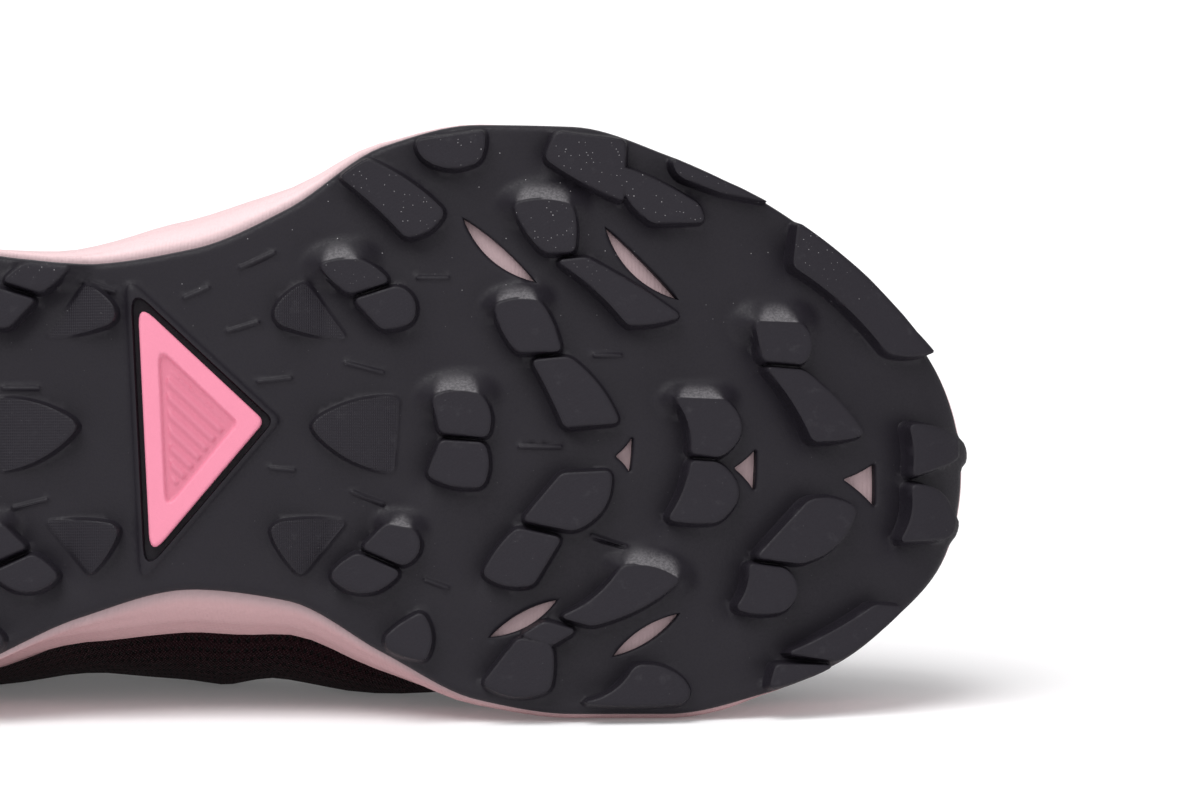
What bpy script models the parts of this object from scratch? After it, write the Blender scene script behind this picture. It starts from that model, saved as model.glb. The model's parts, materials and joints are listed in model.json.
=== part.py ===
# Trail running shoe for the right foot, lying on its medial side with its sole upright.
#
# The shoe is worked out upright, in millimetres: x runs from heel to toe, y to the medial side and z up from the
# tread. One empty then turns it onto its side and lowers it until sole edge and upper touch the floor.
# Shares of the length place sections; shares of the named widths and heights give their sizes.
import math
from collections import namedtuple

import bmesh
import bpy
import numpy as np
from mathutils import Matrix, Vector
from mathutils.geometry import delaunay_2d_cdt, intersect_line_line_2d

MM = 0.001

# Driving sizes of the sole
LENGTH = 284.0
BALL_WIDTH = 106.0
TOE_SPRING = 16.8
TOE_CURL = 4.0
HEEL_BEVEL = 7.0
LUG_HEIGHT = 3.5
TREAD_BASE = 1.8
HEEL_STACK = 26.0
RIM_HEIGHT = 17.0
FLARE = 8.0
TAPER = 6.0
CUP_SINK = 0.02
FEATHER_INSET = 7.5
GAP = 0.3
LUG_DRAFT = 0.5
LUG_MARGIN = 0.9
FOOT_MARGIN = 0.3
END_MARGIN = 0.012
LEAST_BOW = 0.3

# Driving sizes of the upper and what is sewn to it
INSTEP_HEIGHT = 107.0
WALL = 2.0
OVERLAY = 1.0
COUNTER = 1.2
INSOLE = 4.2
TONGUE = 5.0
TONGUE_RISE = 20.0
PADDING = 5.0
PADDING_RISE = 0.35
LACE_WIDTH = 6.5
LACE_THICKNESS = 1.4
EYELET = 4.4
EYELET_PAIRS = 6
TAB_THICKNESS = 1.6

# Insert in the sole
INSERT_PROUD = 1.5
INSERT_RECESS = 0.6
INSERT_BORDER = 3.2
INSERT_DRAFT = 0.5
WELL_GROOVE = 1.0
LIP_HEIGHT = 1.0
LIP_WIDTH = 1.2
LIP_DRAFT = 0.5

# Sections of the mesh
STATIONS = 30
COLUMNS = 2 * STATIONS
ROWS = 8
SPRING_START = 0.722
CURL_START = 0.965
BEVEL_END = 0.106

Outline = namedtuple("Outline", "share medial lateral")
OUTLINE = [
    Outline(0.000, 0.000, 0.000),
    Outline(0.020, 0.165, 0.165),
    Outline(0.070, 0.300, 0.300),
    Outline(0.130, 0.367, 0.368),
    Outline(0.200, 0.387, 0.395),
    Outline(0.280, 0.372, 0.398),
    Outline(0.360, 0.322, 0.391),
    Outline(0.440, 0.228, 0.369),
    Outline(0.510, 0.181, 0.395),
    Outline(0.570, 0.200, 0.463),
    Outline(0.630, 0.287, 0.568),
    Outline(0.690, 0.367, 0.605),
    Outline(0.750, 0.391, 0.602),
    Outline(0.810, 0.391, 0.555),
    Outline(0.870, 0.358, 0.480),
    Outline(0.920, 0.304, 0.387),
    Outline(0.960, 0.219, 0.279),
    Outline(0.985, 0.144, 0.185),
    Outline(1.000, -0.020, 0.020),
]

# Cup floor over the tread, rim over the floor, how far the side stands out, how far the upper stands in
Side = namedtuple("Side", "share floor rim taper flare_medial flare_lateral inset_medial inset_lateral")
SIDES = [
    Side(0.00, 1.02, 1.00, 1.00, 0.12, 0.12, 1.20, 1.20),
    Side(0.13, 1.00, 1.00, 1.00, 0.12, 0.15, 1.20, 1.20),
    Side(0.28, 0.94, 0.88, 0.85, 0.42, 0.35, 0.88, 1.00),
    Side(0.40, 0.84, 0.74, 0.50, 0.98, 0.70, 0.10, 0.50),
    Side(0.52, 0.72, 0.64, 0.35, 1.10, 0.85, -0.20, 0.18),
    Side(0.62, 0.64, 0.58, 0.40, 0.72, 0.48, 0.45, 0.48),
    Side(0.72, 0.60, 0.55, 0.45, 0.12, 0.10, 0.80, 0.82),
    Side(0.82, 0.65, 0.54, 0.45, 0.06, 0.06, 0.84, 0.86),
    Side(0.92, 0.82, 0.56, 0.45, 0.05, 0.05, 0.86, 0.86),
    Side(1.00, 1.02, 0.58, 0.45, 0.05, 0.05, 0.86, 0.86),
]

# Rings of the midsole's side from tread to rim: shares of the height, flare and taper, and a step in mm
Ring = namedtuple("Ring", "height flare taper step")
SIDE_RINGS = [
    Ring(0.00, 0.10, 0.00, -0.3),
    Ring(0.07, 0.45, 0.00, 0.7),
    Ring(0.15, 0.60, 0.05, 0.7),
    Ring(0.19, 0.60, 0.10, -0.5),
    Ring(0.45, 0.95, 0.35, 0.2),
    Ring(0.74, 1.00, 0.65, 0.0),
    Ring(1.00, 0.80, 1.00, -0.2),
]

# Edge of collar and throat: place along the length, half width, height
Top = namedtuple("Top", "share along half height")
TOPLINE = [
    Top(0.00, 0.028, 0.000, 0.963),
    Top(0.02, 0.032, 0.094, 0.958),
    Top(0.07, 0.056, 0.189, 0.925),
    Top(0.13, 0.109, 0.262, 0.841),
    Top(0.20, 0.183, 0.298, 0.766),
    Top(0.28, 0.275, 0.305, 0.757),
    Top(0.34, 0.342, 0.280, 0.860),
    Top(0.40, 0.394, 0.215, 1.000),
    Top(0.46, 0.447, 0.175, 0.977),
    Top(0.54, 0.528, 0.146, 0.902),
    Top(0.62, 0.609, 0.121, 0.818),
    Top(0.70, 0.687, 0.102, 0.743),
    Top(0.76, 0.732, 0.085, 0.701),
    Top(0.84, 0.743, 0.061, 0.692),
    Top(0.92, 0.748, 0.036, 0.688),
    Top(1.00, 0.750, 0.000, 0.687),
]

# How the wall bulges between rim and edge, and over the medial arch, in shares of the instep height
Bulge = namedtuple("Bulge", "share rim_out low_up low_out high_out high_drop arch")
BULGES = [
    Bulge(0.00, 0.009, 0.24, 0.037, 0.028, 0.206, 0.000),
    Bulge(0.13, 0.011, 0.21, 0.028, 0.040, 0.131, 0.000),
    Bulge(0.28, 0.012, 0.19, 0.028, 0.040, 0.131, 0.000),
    Bulge(0.40, 0.013, 0.23, 0.060, 0.080, 0.168, 0.055),
    Bulge(0.54, 0.013, 0.20, 0.065, 0.150, 0.084, 0.205),
    Bulge(0.63, 0.012, 0.18, 0.045, 0.180, 0.060, 0.190),
    Bulge(0.70, 0.011, 0.18, 0.024, 0.206, 0.047, 0.040),
    Bulge(0.76, 0.010, 0.18, 0.019, 0.224, 0.037, 0.000),
    Bulge(0.84, 0.009, 0.17, 0.017, 0.262, 0.037, 0.000),
    Bulge(0.92, 0.009, 0.16, 0.017, 0.318, 0.042, 0.000),
    Bulge(1.00, 0.009, 0.16, 0.017, 0.340, 0.050, 0.000),
]
ARCH_TOP = 0.15

# Middle line of the collar and throat
Middle = namedtuple("Middle", "share shift")
MIDDLES = [
    Middle(0.00, 0.000),
    Middle(0.20, -0.005),
    Middle(0.40, -0.038),
    Middle(0.54, -0.066),
    Middle(0.70, -0.080),
    Middle(1.00, -0.080),
]

# Lugs of waist and forefoot: four corners in thousandths of length and ball width, how far each side
# bows in mm, the length of the ramp at the first side in mm, and how far the lug fades to its third corner
Lug = namedtuple("Lug", "name x1 y1 x2 y2 x3 y3 x4 y4 bow1 bow2 bow3 bow4 ramp fade")
LUGS = [
    Lug("lateral_arch", 604, -515, 620, -544, 669, -455, 645, -414, 0.0, 0.9, 1.2, -0.4, 0.5, 0.0),
    Lug("lateral_block", 652, -576, 694, -592, 691, -542, 659, -542, 0.0, 0.4, 1.2, 0.5, 0.5, 0.0),
    Lug("lateral_front_a", 740, -590, 782, -576, 781, -475, 733, -546, 0.0, 0.0, 0.5, 0.2, 0.5, 0.0),
    Lug("lateral_front_b", 777, -532, 828, -467, 831, -441, 800, -438, 0.7, 0.0, 0.0, 1.4, 0.5, 0.0),
    Lug("lateral_sliver", 812, -545, 871, -477, 843, -490, 818, -515, 0.0, 0.0, 0.0, 0.4, 0.5, 0.0),
    Lug("lateral_toe", 890, -440, 975, -226, 946, -222, 887, -367, 1.4, 0.7, -1.1, 0.0, 0.5, 0.0),
    Lug("outer_toe_a", 863, -273, 891, -271, 893, -202, 868, -207, 0.0, 1.6, 0.0, 0.0, 2.9, 0.0),
    Lug("outer_toe_b", 870, -194, 893, -189, 931, -84, 899, -72, 0.0, 0.7, 0.5, -0.7, 0.5, 0.0),
    Lug("outer_ball_a", 713, -468, 749, -468, 750, -389, 733, -387, 0.9, 0.5, 0.0, 0.7, 2.7, 0.0),
    Lug("outer_ball_b", 741, -372, 758, -377, 816, -280, 784, -266, 0.0, 0.4, 0.5, -0.7, 0.5, 0.0),
    Lug("middle_ball_a", 701, -298, 729, -305, 742, -222, 716, -219, 0.7, 0.5, 0.0, 0.7, 2.1, 0.0),
    Lug("middle_ball_b", 725, -204, 747, -209, 778, -101, 745, -93, 0.0, 1.1, 0.0, -0.2, 0.5, 0.0),
    Lug("inner_ball_a", 743, -13, 773, -17, 750, 81, 719, 64, 0.0, 2.3, 0.0, 0.0, 0.5, 0.0),
    Lug("inner_ball_b", 715, 79, 742, 96, 725, 172, 694, 155, 0.0, 0.0, 1.1, 0.5, 0.5, 0.0),
    Lug("rear_ball_a", 662, -143, 692, -147, 696, -77, 667, -84, 0.9, 1.1, 0.0, 0.0, 2.7, 0.0),
    Lug("rear_ball_b", 667, -69, 694, -64, 693, 7, 659, -12, 0.0, 0.9, 0.9, 0.0, 0.5, 0.0),
    Lug("middle_leaf", 589, -104, 640, -142, 637, -17, 589, -83, 1.2, 0.0, 1.4, 0.5, 0.5, 0.9),
    Lug("lateral_leaf", 564, -296, 582, -335, 607, -243, 565, -268, 0.4, 0.0, 0.5, 0.4, 0.5, 0.9),
    Lug("medial_leaf", 564, 71, 607, 67, 579, 157, 562, 93, 0.5, 0.0, 0.4, 0.5, 0.5, 0.9),
    Lug("lateral_wing_a", 591, -366, 616, -374, 634, -339, 610, -318, 0.5, 0.4, 0.0, 0.4, 2.7, 0.0),
    Lug("lateral_wing_b", 613, -307, 640, -329, 649, -271, 630, -259, 0.0, 1.6, 0.4, 0.0, 0.5, 0.0),
    Lug("medial_wing_a", 633, 71, 650, 79, 644, 140, 618, 111, 0.0, 1.8, 0.0, 0.0, 2.1, 0.0),
    Lug("medial_wing_b", 615, 121, 641, 153, 625, 184, 598, 158, 0.0, 0.4, 1.2, 0.4, 0.5, 0.0),
    Lug("medial_arch", 632, 264, 655, 221, 657, 300, 635, 283, 0.4, 1.4, 0.2, 0.0, 0.5, 0.0),
    Lug("medial_neck", 733, 236, 751, 251, 736, 275, 718, 259, 0.0, 0.0, 0.0, 0.0, 0.5, 0.0),
    Lug("medial_block", 716, 264, 736, 274, 735, 350, 694, 340, 0.0, 0.5, 1.6, 0.0, 0.5, 0.0),
    Lug("medial_ball_a", 780, 143, 816, 165, 761, 241, 743, 227, 1.2, 1.2, 0.0, -1.2, 2.7, 0.0),
    Lug("medial_ball_b", 788, 312, 820, 340, 818, 371, 757, 372, 1.4, 0.7, 0.4, -1.4, 0.5, 0.0),
    Lug("middle_toe_a", 813, -143, 844, -140, 841, -44, 823, -49, 0.0, 3.2, 0.0, -1.1, 2.1, 0.0),
    Lug("middle_toe_b", 823, -35, 840, -32, 840, 66, 809, 62, 0.0, 3.4, 0.4, -0.7, 0.5, 0.0),
    Lug("inner_toe_a", 896, 32, 926, 44, 891, 135, 864, 126, 1.1, 2.1, 0.0, 0.0, 0.5, 0.0),
    Lug("inner_toe_b", 859, 138, 882, 147, 881, 216, 851, 212, 0.0, 2.0, 0.7, -0.9, 0.5, 0.0),
    Lug("tip_lateral", 960, -99, 983, -86, 984, -37, 962, -12, 0.5, 1.6, 0.0, -0.5, 0.5, 0.0),
    Lug("tip_medial", 961, 3, 983, 40, 982, 92, 954, 98, 1.4, 0.9, 0.0, -1.1, 0.5, 0.0),
    Lug("medial_toe_a", 938, 207, 956, 211, 915, 300, 884, 288, 0.0, 0.5, 0.0, -0.5, 0.5, 0.0),
    Lug("medial_toe_b", 876, 308, 911, 311, 893, 334, 872, 347, 0.0, 0.0, 0.0, 0.0, 0.5, 0.0),
]

# The heel repeats these lugs, turned about this share of the length
MIRROR = 0.5127
TURNED = (
    "middle_leaf lateral_leaf medial_leaf lateral_wing_a lateral_wing_b medial_wing_a medial_wing_b "
    "rear_ball_a rear_ball_b medial_arch"
).split()
HEEL_PAIRS = "inner_ball_a inner_ball_b medial_block medial_ball_a medial_ball_b inner_toe_a inner_toe_b tip_medial"
HEEL_SQUEEZE = 0.88
HEEL_SHIFT = 4.5

# Crescent holes: two ends in thousandths, and how far the outer and the inner side bow in mm
Slit = namedtuple("Slit", "name x1 y1 x2 y2 bow1 bow2")
SLITS = [
    Slit("lateral_rear", 681, -446, 726, -339, 0.7, 2.2),
    Slit("lateral_front", 771, -430, 816, -310, 0.3, 2.4),
    Slit("medial_rear", 698, 261, 740, 199, 1.1, 1.5),
    Slit("medial_front", 776, 293, 817, 222, 1.3, 1.2),
]

# Three-cornered holes in thousandths
Hole = namedtuple("Hole", "name x1 y1 x2 y2 x3 y3")
HOLES = [
    Hole("ball", 777, -44, 788, -77, 786, -17),
    Hole("middle", 852, -25, 866, -57, 865, 13),
    Hole("toe", 922, -7, 942, -34, 942, 39),
]
INSERT = Hole("insert", 476, -303, 556, -103, 484, 126)
INSERT_ROUNDING = 1.6

# Collar, throat and overlay edges in columns and rows of the upper
THROAT_TOP = 13
THROAT_END = 20
OVERLAY_FOOT = 1.18
EYELET_ROW = ROWS - 0.5
FIRST_EYELET = 13.6
LAST_EYELET = 19.8


def angle_of(share):
    """Share of the length as a share of a half turn, which spreads the ends."""
    return math.acos(1.0 - 2.0 * min(max(share, 0.0), 1.0)) / math.pi


def share_of(angle):
    return 0.5 - 0.5 * math.cos(math.pi * angle)


def curve(rows, column):
    """Smooth function of the share through a table's column, without overshoot."""
    knots = [angle_of(row.share) for row in rows]
    values = [getattr(row, column) for row in rows]
    steps = [b - a for a, b in zip(knots, knots[1:])]
    rises = [(b - a) / step for a, b, step in zip(values, values[1:], steps)]
    slopes = [rises[0]]
    for before, after in zip(rises, rises[1:]):
        slopes.append(0.0 if before * after <= 0.0 else 2.0 * before * after / (before + after))
    slopes.append(rises[-1])

    def value(share):
        at = angle_of(share)
        i = min(max(int(np.searchsorted(knots, at)) - 1, 0), len(steps) - 1)
        t = (at - knots[i]) / steps[i]
        blend = t * t * (3.0 - 2.0 * t)
        ease = t * (1.0 - t)
        level = values[i] + (values[i + 1] - values[i]) * blend
        return level + steps[i] * ease * ((1.0 - t) * slopes[i] - t * slopes[i + 1])

    return value


medial_width = curve(OUTLINE, "medial")
lateral_width = curve(OUTLINE, "lateral")
side = {name: curve(SIDES, name) for name in Side._fields[1:]}
top = {name: curve(TOPLINE, name) for name in Top._fields[1:]}
bulge = {name: curve(BULGES, name) for name in Bulge._fields[1:]}
middle = curve(MIDDLES, "shift")


def edge_at(share, medial):
    """Edge of the outsole in mm from the axis."""
    if medial:
        return BALL_WIDTH * medial_width(share)
    return -BALL_WIDTH * lateral_width(share)


def station(column):
    """Station of a column: medial columns count up to the toe, lateral ones back to the heel."""
    column = column % COLUMNS
    return column if column <= STATIONS else COLUMNS - column


def is_medial(column):
    return column % COLUMNS <= STATIONS


def share_at(column):
    return share_of(station(column) / STATIONS)


def outline_point(column):
    share = share_at(column)
    return Vector((LENGTH * share, edge_at(share, is_medial(column))))


def outward(column):
    """Direction away from the sole in plan."""
    along = outline_point(column + 1) - outline_point(column - 1)
    return Vector((-along.y, along.x)).normalized()


OUTLINE_POINTS = [outline_point(j) for j in range(COLUMNS)]
OUTWARD = [outward(j) for j in range(COLUMNS)]


def side_value(name, column):
    """Flare and inset have a column for each side."""
    return side[name + ("_medial" if is_medial(column) else "_lateral")](share_at(column))


def tread_rise(x):
    """Height and slope of the tread over the ground plane."""
    share = x / LENGTH
    rise = 0.0
    slope = 0.0
    for start, end, height in (
        (SPRING_START, 1.0, TOE_SPRING),
        (CURL_START, 1.0, TOE_CURL),
        (BEVEL_END, 0.0, HEEL_BEVEL),
    ):
        part = (share - start) / (end - start)
        if part > 0.0:
            rise += height * part * part
            slope += 2.0 * height * part / ((end - start) * LENGTH)
    return rise, slope


def on_sole(x, y, up):
    """Point at a height over the web of the outsole, square to its curve."""
    rise, slope = tread_rise(x)
    scale = 1.0 / math.hypot(1.0, slope)
    return Vector((x - slope * scale * up, y, LUG_HEIGHT + rise + scale * up))


def floor_height(column):
    return HEEL_STACK * side["floor"](share_at(column))


def rim_height(column):
    return floor_height(column) + RIM_HEIGHT * side["rim"](share_at(column))


def plan(column, out):
    """Plan point at a distance outside the outsole's outline."""
    return OUTLINE_POINTS[column % COLUMNS] + OUTWARD[column % COLUMNS] * out


def feather_out(column):
    """The upper's outer face at the cup floor, as a distance outside the outline."""
    return -FEATHER_INSET * side_value("inset", column)


def rim_out(column):
    return feather_out(column) + INSTEP_HEIGHT * bulge["rim_out"](share_at(column))


def raised(point, height):
    return Vector((point.x, point.y, height))


def material(name, colour, roughness):
    result = bpy.data.materials.new(name)
    result.use_nodes = True
    shader = result.node_tree.nodes["Principled BSDF"]
    shader.inputs["Base Color"].default_value = (*colour, 1.0)
    shader.inputs["Roughness"].default_value = roughness
    shader.inputs["Metallic"].default_value = 0.0
    result.diffuse_color = (*colour, 1.0)
    return result


MATERIALS = {
    "black_rubber": material("black_rubber", (0.028, 0.026, 0.030), 0.55),
    "pink_rubber": material("pink_rubber", (0.700, 0.220, 0.320), 0.45),
    "pale_foam": material("pale_foam", (0.800, 0.560, 0.570), 0.70),
    "dark_mesh": material("dark_mesh", (0.045, 0.008, 0.014), 0.90),
    "black_film": material("black_film", (0.020, 0.014, 0.016), 0.50),
    "lining": material("lining", (0.060, 0.014, 0.022), 0.95),
    "webbing": material("webbing", (0.500, 0.160, 0.230), 0.80),
}

shoe = bpy.data.objects.new("shoe", None)


def solid(name, points, faces, finish):
    """Closed body from points in mm, with its faces turned out."""
    shape = bmesh.new()
    verts = [shape.verts.new(point * MM) for point in points]
    for face in faces:
        shape.faces.new([verts[i] for i in face])
    bmesh.ops.recalc_face_normals(shape, faces=shape.faces[:])
    mesh = bpy.data.meshes.new(name)
    shape.to_mesh(mesh)
    shape.free()
    mesh.shade_smooth()
    mesh.set_sharp_from_angle(angle=math.radians(35.0))
    mesh.materials.append(MATERIALS[finish])
    body = bpy.data.objects.new(name, mesh)
    bpy.context.scene.collection.objects.link(body)
    body.parent = shoe
    return body


# Flat outlines
def bowed(corners, bows, steps=1):
    """Outline through corners whose sides bow out by the given lengths."""
    centre = sum(corners, Vector((0.0, 0.0))) / len(corners)
    points = []
    for i, (start, bow) in enumerate(zip(corners, bows)):
        end = corners[(i + 1) % len(corners)]
        points.append(start.copy())
        across = Vector((end.y - start.y, start.x - end.x)).normalized()
        if len(corners) > 2 and across.dot((start + end) / 2.0 - centre) < 0.0:
            across = -across
        if abs(bow) < LEAST_BOW:
            continue
        for k in range(1, steps + 1):
            t = k / (steps + 1.0)
            points.append(start.lerp(end, t) + across * (4.0 * t * (1.0 - t) * bow))
    return points


def is_left_turning(points):
    area = sum(a.x * b.y - b.x * a.y for a, b in zip(points, points[1:] + points[:1]))
    return area > 0.0


def grown(points, distances):
    """Outline moved out by a distance for each side."""
    turn = 1.0 if is_left_turning(points) else -1.0
    count = len(points)
    lines = []
    for i in range(count):
        along = (points[(i + 1) % count] - points[i]).normalized()
        out = Vector((along.y, -along.x)) * turn
        lines.append((points[i] + out * distances[i], along, out))
    result = []
    for i in range(count):
        start, along, out = lines[i - 1]
        other, other_along, other_out = lines[i]
        cross = along.x * other_along.y - along.y * other_along.x
        reach = max(distances[i - 1], distances[i], -distances[i - 1], -distances[i]) * 2.5
        if abs(cross) < 0.15:
            moved = points[i] + (out * distances[i - 1] + other_out * distances[i]) / 2.0
        else:
            t = ((other.x - start.x) * other_along.y - (other.y - start.y) * other_along.x) / cross
            moved = start + along * t
        if (moved - points[i]).length > reach:
            moved = points[i] + (moved - points[i]).normalized() * reach
        result.append(moved)
    return result


def chord_at(x, medial):
    """Edge of the outsole in mm from the axis, straight between the outline's points."""
    i = min(int(angle_of(x / LENGTH) * STATIONS), STATIONS - 1)
    start = OUTLINE_POINTS[i if medial else -i]
    end = OUTLINE_POINTS[i + 1 if medial else -i - 1]
    return start.y + (end.y - start.y) * (x - start.x) / (end.x - start.x)


def held_inside(point, margin):
    """Point moved across until it lies inside the outline by a margin."""
    x = min(max(point.x, LENGTH * END_MARGIN), LENGTH * (1.0 - END_MARGIN))
    return Vector((x, min(max(point.y, chord_at(x, False) + margin), chord_at(x, True) - margin)))


def sole_point(x, y):
    """Plan point from thousandths of length and ball width."""
    return Vector((x * LENGTH / 1000.0, y * BALL_WIDTH / 1000.0))


TreadLug = namedtuple("TreadLug", "top foot rear front fade")


def tread_lug(corners, lug):
    bows = (lug.bow1, lug.bow2, lug.bow3, lug.bow4)
    outline = []
    drafts = []
    for i, corner in enumerate(corners):
        piece = bowed_side(corners, i, bows[i])
        outline += [corner] + piece
        drafts += [lug.ramp if i == 0 else LUG_DRAFT] * (1 + len(piece))
    outline = [held_inside(point, LUG_MARGIN) for point in outline]
    foot = [held_inside(point, FOOT_MARGIN) for point in grown(outline, drafts)]
    rear = (corners[0] + corners[3]) / 2.0
    front = (corners[1] + corners[2]) / 2.0
    return TreadLug(outline, foot, rear, front, lug.fade)


def bowed_side(corners, i, bow):
    """Middle point of one bowed side, or nothing where the side is straight."""
    if abs(bow) < LEAST_BOW:
        return []
    return [bowed(corners, [bow if k == i else 0.0 for k in range(4)])[i + 1]]


def lug_corners(lug):
    return [sole_point(x, y) for x, y in ((lug.x1, lug.y1), (lug.x2, lug.y2), (lug.x3, lug.y3), (lug.x4, lug.y4))]


def turned(point):
    """Point of the forefoot turned over to the heel."""
    return Vector((2.0 * MIRROR * LENGTH - point.x, point.y))


def heel_point(point, mirror):
    moved = turned(point)
    return Vector((moved.x, mirror * (moved.y * HEEL_SQUEEZE + HEEL_SHIFT)))


def tread_lugs():
    named = {lug.name: lug for lug in LUGS}
    lugs = [tread_lug(lug_corners(lug), lug) for lug in LUGS]
    for name in TURNED:
        lugs.append(tread_lug([turned(point) for point in lug_corners(named[name])], named[name]))
    for name in HEEL_PAIRS.split():
        for mirror in (1.0, -1.0):
            corners = [heel_point(point, mirror) for point in lug_corners(named[name])]
            lugs.append(tread_lug(corners, named[name]))
    return lugs


def rounded(corners, radius, steps=2):
    """Outline with its corners rounded."""
    points = []
    count = len(corners)
    for i, corner in enumerate(corners):
        before = (corners[i - 1] - corner).normalized()
        after = (corners[(i + 1) % count] - corner).normalized()
        reach = radius / math.tan(before.angle(after) / 2.0)
        start = corner + before * reach
        end = corner + after * reach
        for k in range(steps + 1):
            t = k / steps
            points.append(start.lerp(corner, t).lerp(corner.lerp(end, t), t))
    return points


def insert_outline(inset):
    corners = [sole_point(INSERT.x1, INSERT.y1), sole_point(INSERT.x2, INSERT.y2), sole_point(INSERT.x3, INSERT.y3)]
    corners = grown(corners, [-inset] * 3)
    return rounded(corners, INSERT_ROUNDING)


def crescent(slit):
    ends = [sole_point(slit.x1, slit.y1), sole_point(slit.x2, slit.y2)]
    toward = 1.0 if slit.y1 < 0.0 else -1.0
    return bowed(ends, [-slit.bow1 * toward, slit.bow2 * toward] if toward > 0 else [slit.bow1, slit.bow2], 3)


def holds(outline, point, slack=0.01):
    """True for a point inside an outline or within a hair of it."""
    inside = False
    for a, b in zip(outline, outline[1:] + outline[:1]):
        side_length = (b - a).length_squared
        t = min(max((point - a).dot(b - a) / side_length, 0.0), 1.0)
        if (a.lerp(b, t) - point).length < slack:
            return True
        if (a.y > point.y) != (b.y > point.y):
            if point.x < a.x + (point.y - a.y) * (b.x - a.x) / (b.y - a.y):
                inside = not inside
    return inside


def triangulated(points, loops, edges=(), slack=1e-4):
    """Triangles between points that keep loops and edges; each triangle lists the loops that hold it."""
    points = [Vector(point) for point in points]
    faces = []
    for loop in loops:
        loop = loop if is_left_turning(loop) else loop[::-1]
        faces.append(list(range(len(points), len(points) + len(loop))))
        points += loop
    verts, _, triangles, sources, _, holders = delaunay_2d_cdt(points, list(edges), faces, 0, slack)
    return verts, triangles, sources, holders


def rim_edges(triangles):
    """Edges used by one triangle only, in that triangle's direction."""
    used = {}
    for triangle in triangles:
        for a, b in zip(triangle, triangle[1:] + triangle[:1]):
            used[(a, b)] = True
    return [(a, b) for a, b in used if (b, a) not in used]


def crosses(start, end, hole):
    """True where a straight run meets the edge of a hole."""
    return any(intersect_line_line_2d(start, end, a, b) for a, b in zip(hole, hole[1:] + hole[:1]))


def relief(name, outline, holes, rings, level_at, height, chains, finish):
    """Plate on the sole: its outer side has relief between rings, and its inner side is smooth."""
    verts, triangles, _, holders = triangulated([], [outline] + holes + rings)
    kept = []
    for triangle, loops in zip(triangles, holders):
        if 0 in loops and not any(1 <= loop <= len(holes) for loop in loops):
            kept.append(list(triangle))
    used = sorted({i for triangle in kept for i in triangle})
    place = {old: new for new, old in enumerate(used)}
    points = [on_sole(verts[i].x, verts[i].y, level_at(verts[i])) for i in used]
    faces = [[place[i] for i in triangle] for triangle in kept]
    border = rim_edges(faces)
    border_verts = sorted({i for edge in border for i in edge})
    flat = [verts[used[i]] for i in border_verts]
    order = {i: k for k, i in enumerate(border_verts)}
    edges = [(order[a], order[b]) for a, b in border]
    for chain in chains:
        for before, after in zip(chain, chain[1:]):
            if not any(crosses(before, after, hole) for hole in holes):
                edges.append((len(flat), len(flat) + 1))
                flat += [before, after]
    inner, inner_faces, sources, _ = triangulated(flat, [], edges)
    start = len(points)
    points += [on_sole(point.x, point.y, height) for point in inner]
    matched = {}
    for k, origin in enumerate(sources):
        for i in origin:
            if i < len(border_verts):
                matched[border_verts[i]] = start + k
    outside = []
    for triangle in inner_faces:
        centre = (inner[triangle[0]] + inner[triangle[1]] + inner[triangle[2]]) / 3.0
        if holds(outline, centre, 0.0) and not any(holds(hole, centre, 0.0) for hole in holes):
            outside.append([start + i for i in triangle])
    faces += outside
    for a, b in border:
        faces.append([a, b, matched[b]])
        faces.append([a, matched[b], matched[a]])
    return solid(name, points, faces, finish)


def make_outsole():
    lugs = tread_lugs()
    well = insert_outline(-WELL_GROOVE)
    lip = insert_outline(-WELL_GROOVE - LIP_WIDTH)
    lip_foot = insert_outline(-WELL_GROOVE - LIP_WIDTH - LIP_DRAFT)
    holes = [well] + [crescent(slit) for slit in SLITS]
    for hole in HOLES:
        holes.append([sole_point(hole.x1, hole.y1), sole_point(hole.x2, hole.y2), sole_point(hole.x3, hole.y3)])

    def level_at(point):
        for lug in lugs:
            if holds(lug.top, point):
                along = lug.front - lug.rear
                t = min(max((point - lug.rear).dot(along) / along.length_squared, 0.0), 1.0)
                return -LUG_HEIGHT * (1.0 - lug.fade * t)
        if holds(lip, point):
            return -LIP_HEIGHT
        return 0.0

    rings = [lip, lip_foot]
    for lug in lugs:
        rings += [lug.top, lug.foot]
    chains = []
    for i in range(1, STATIONS):
        share = share_of(i / STATIONS)
        if SPRING_START < share or share < BEVEL_END:
            start = OUTLINE_POINTS[i]
            end = OUTLINE_POINTS[COLUMNS - i]
            chains.append([start.lerp(end, k / 4.0) for k in range(5)])
    return relief("outsole", OUTLINE_POINTS, holes, rings, level_at, TREAD_BASE, chains, "black_rubber")


def make_insert():
    outline = insert_outline(0.0)
    border = insert_outline(INSERT_BORDER)
    recess = insert_outline(INSERT_BORDER + INSERT_DRAFT)

    def level_at(point):
        return INSERT_RECESS - INSERT_PROUD if holds(recess, point) else -INSERT_PROUD

    return relief("outsole_insert", outline, [], [border, recess], level_at, TREAD_BASE, [], "pink_rubber")


def ladder(first, rail, flip):
    """Faces that close a ring across the shoe, with a rail of points along its middle."""
    faces = []
    for i in range(STATIONS):
        right = first + i
        right_next = first + i + 1
        left = first + (COLUMNS - i) % COLUMNS
        left_next = first + COLUMNS - i - 1
        mid = rail[i]
        mid_next = rail[i + 1]
        for quad in ([right, right_next, mid_next, mid], [mid, mid_next, left_next, left]):
            corners = []
            for corner in quad:
                if corner not in corners:
                    corners.append(corner)
            if len(corners) > 2:
                faces.append(corners[::-1] if flip else corners)
    return faces


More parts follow.
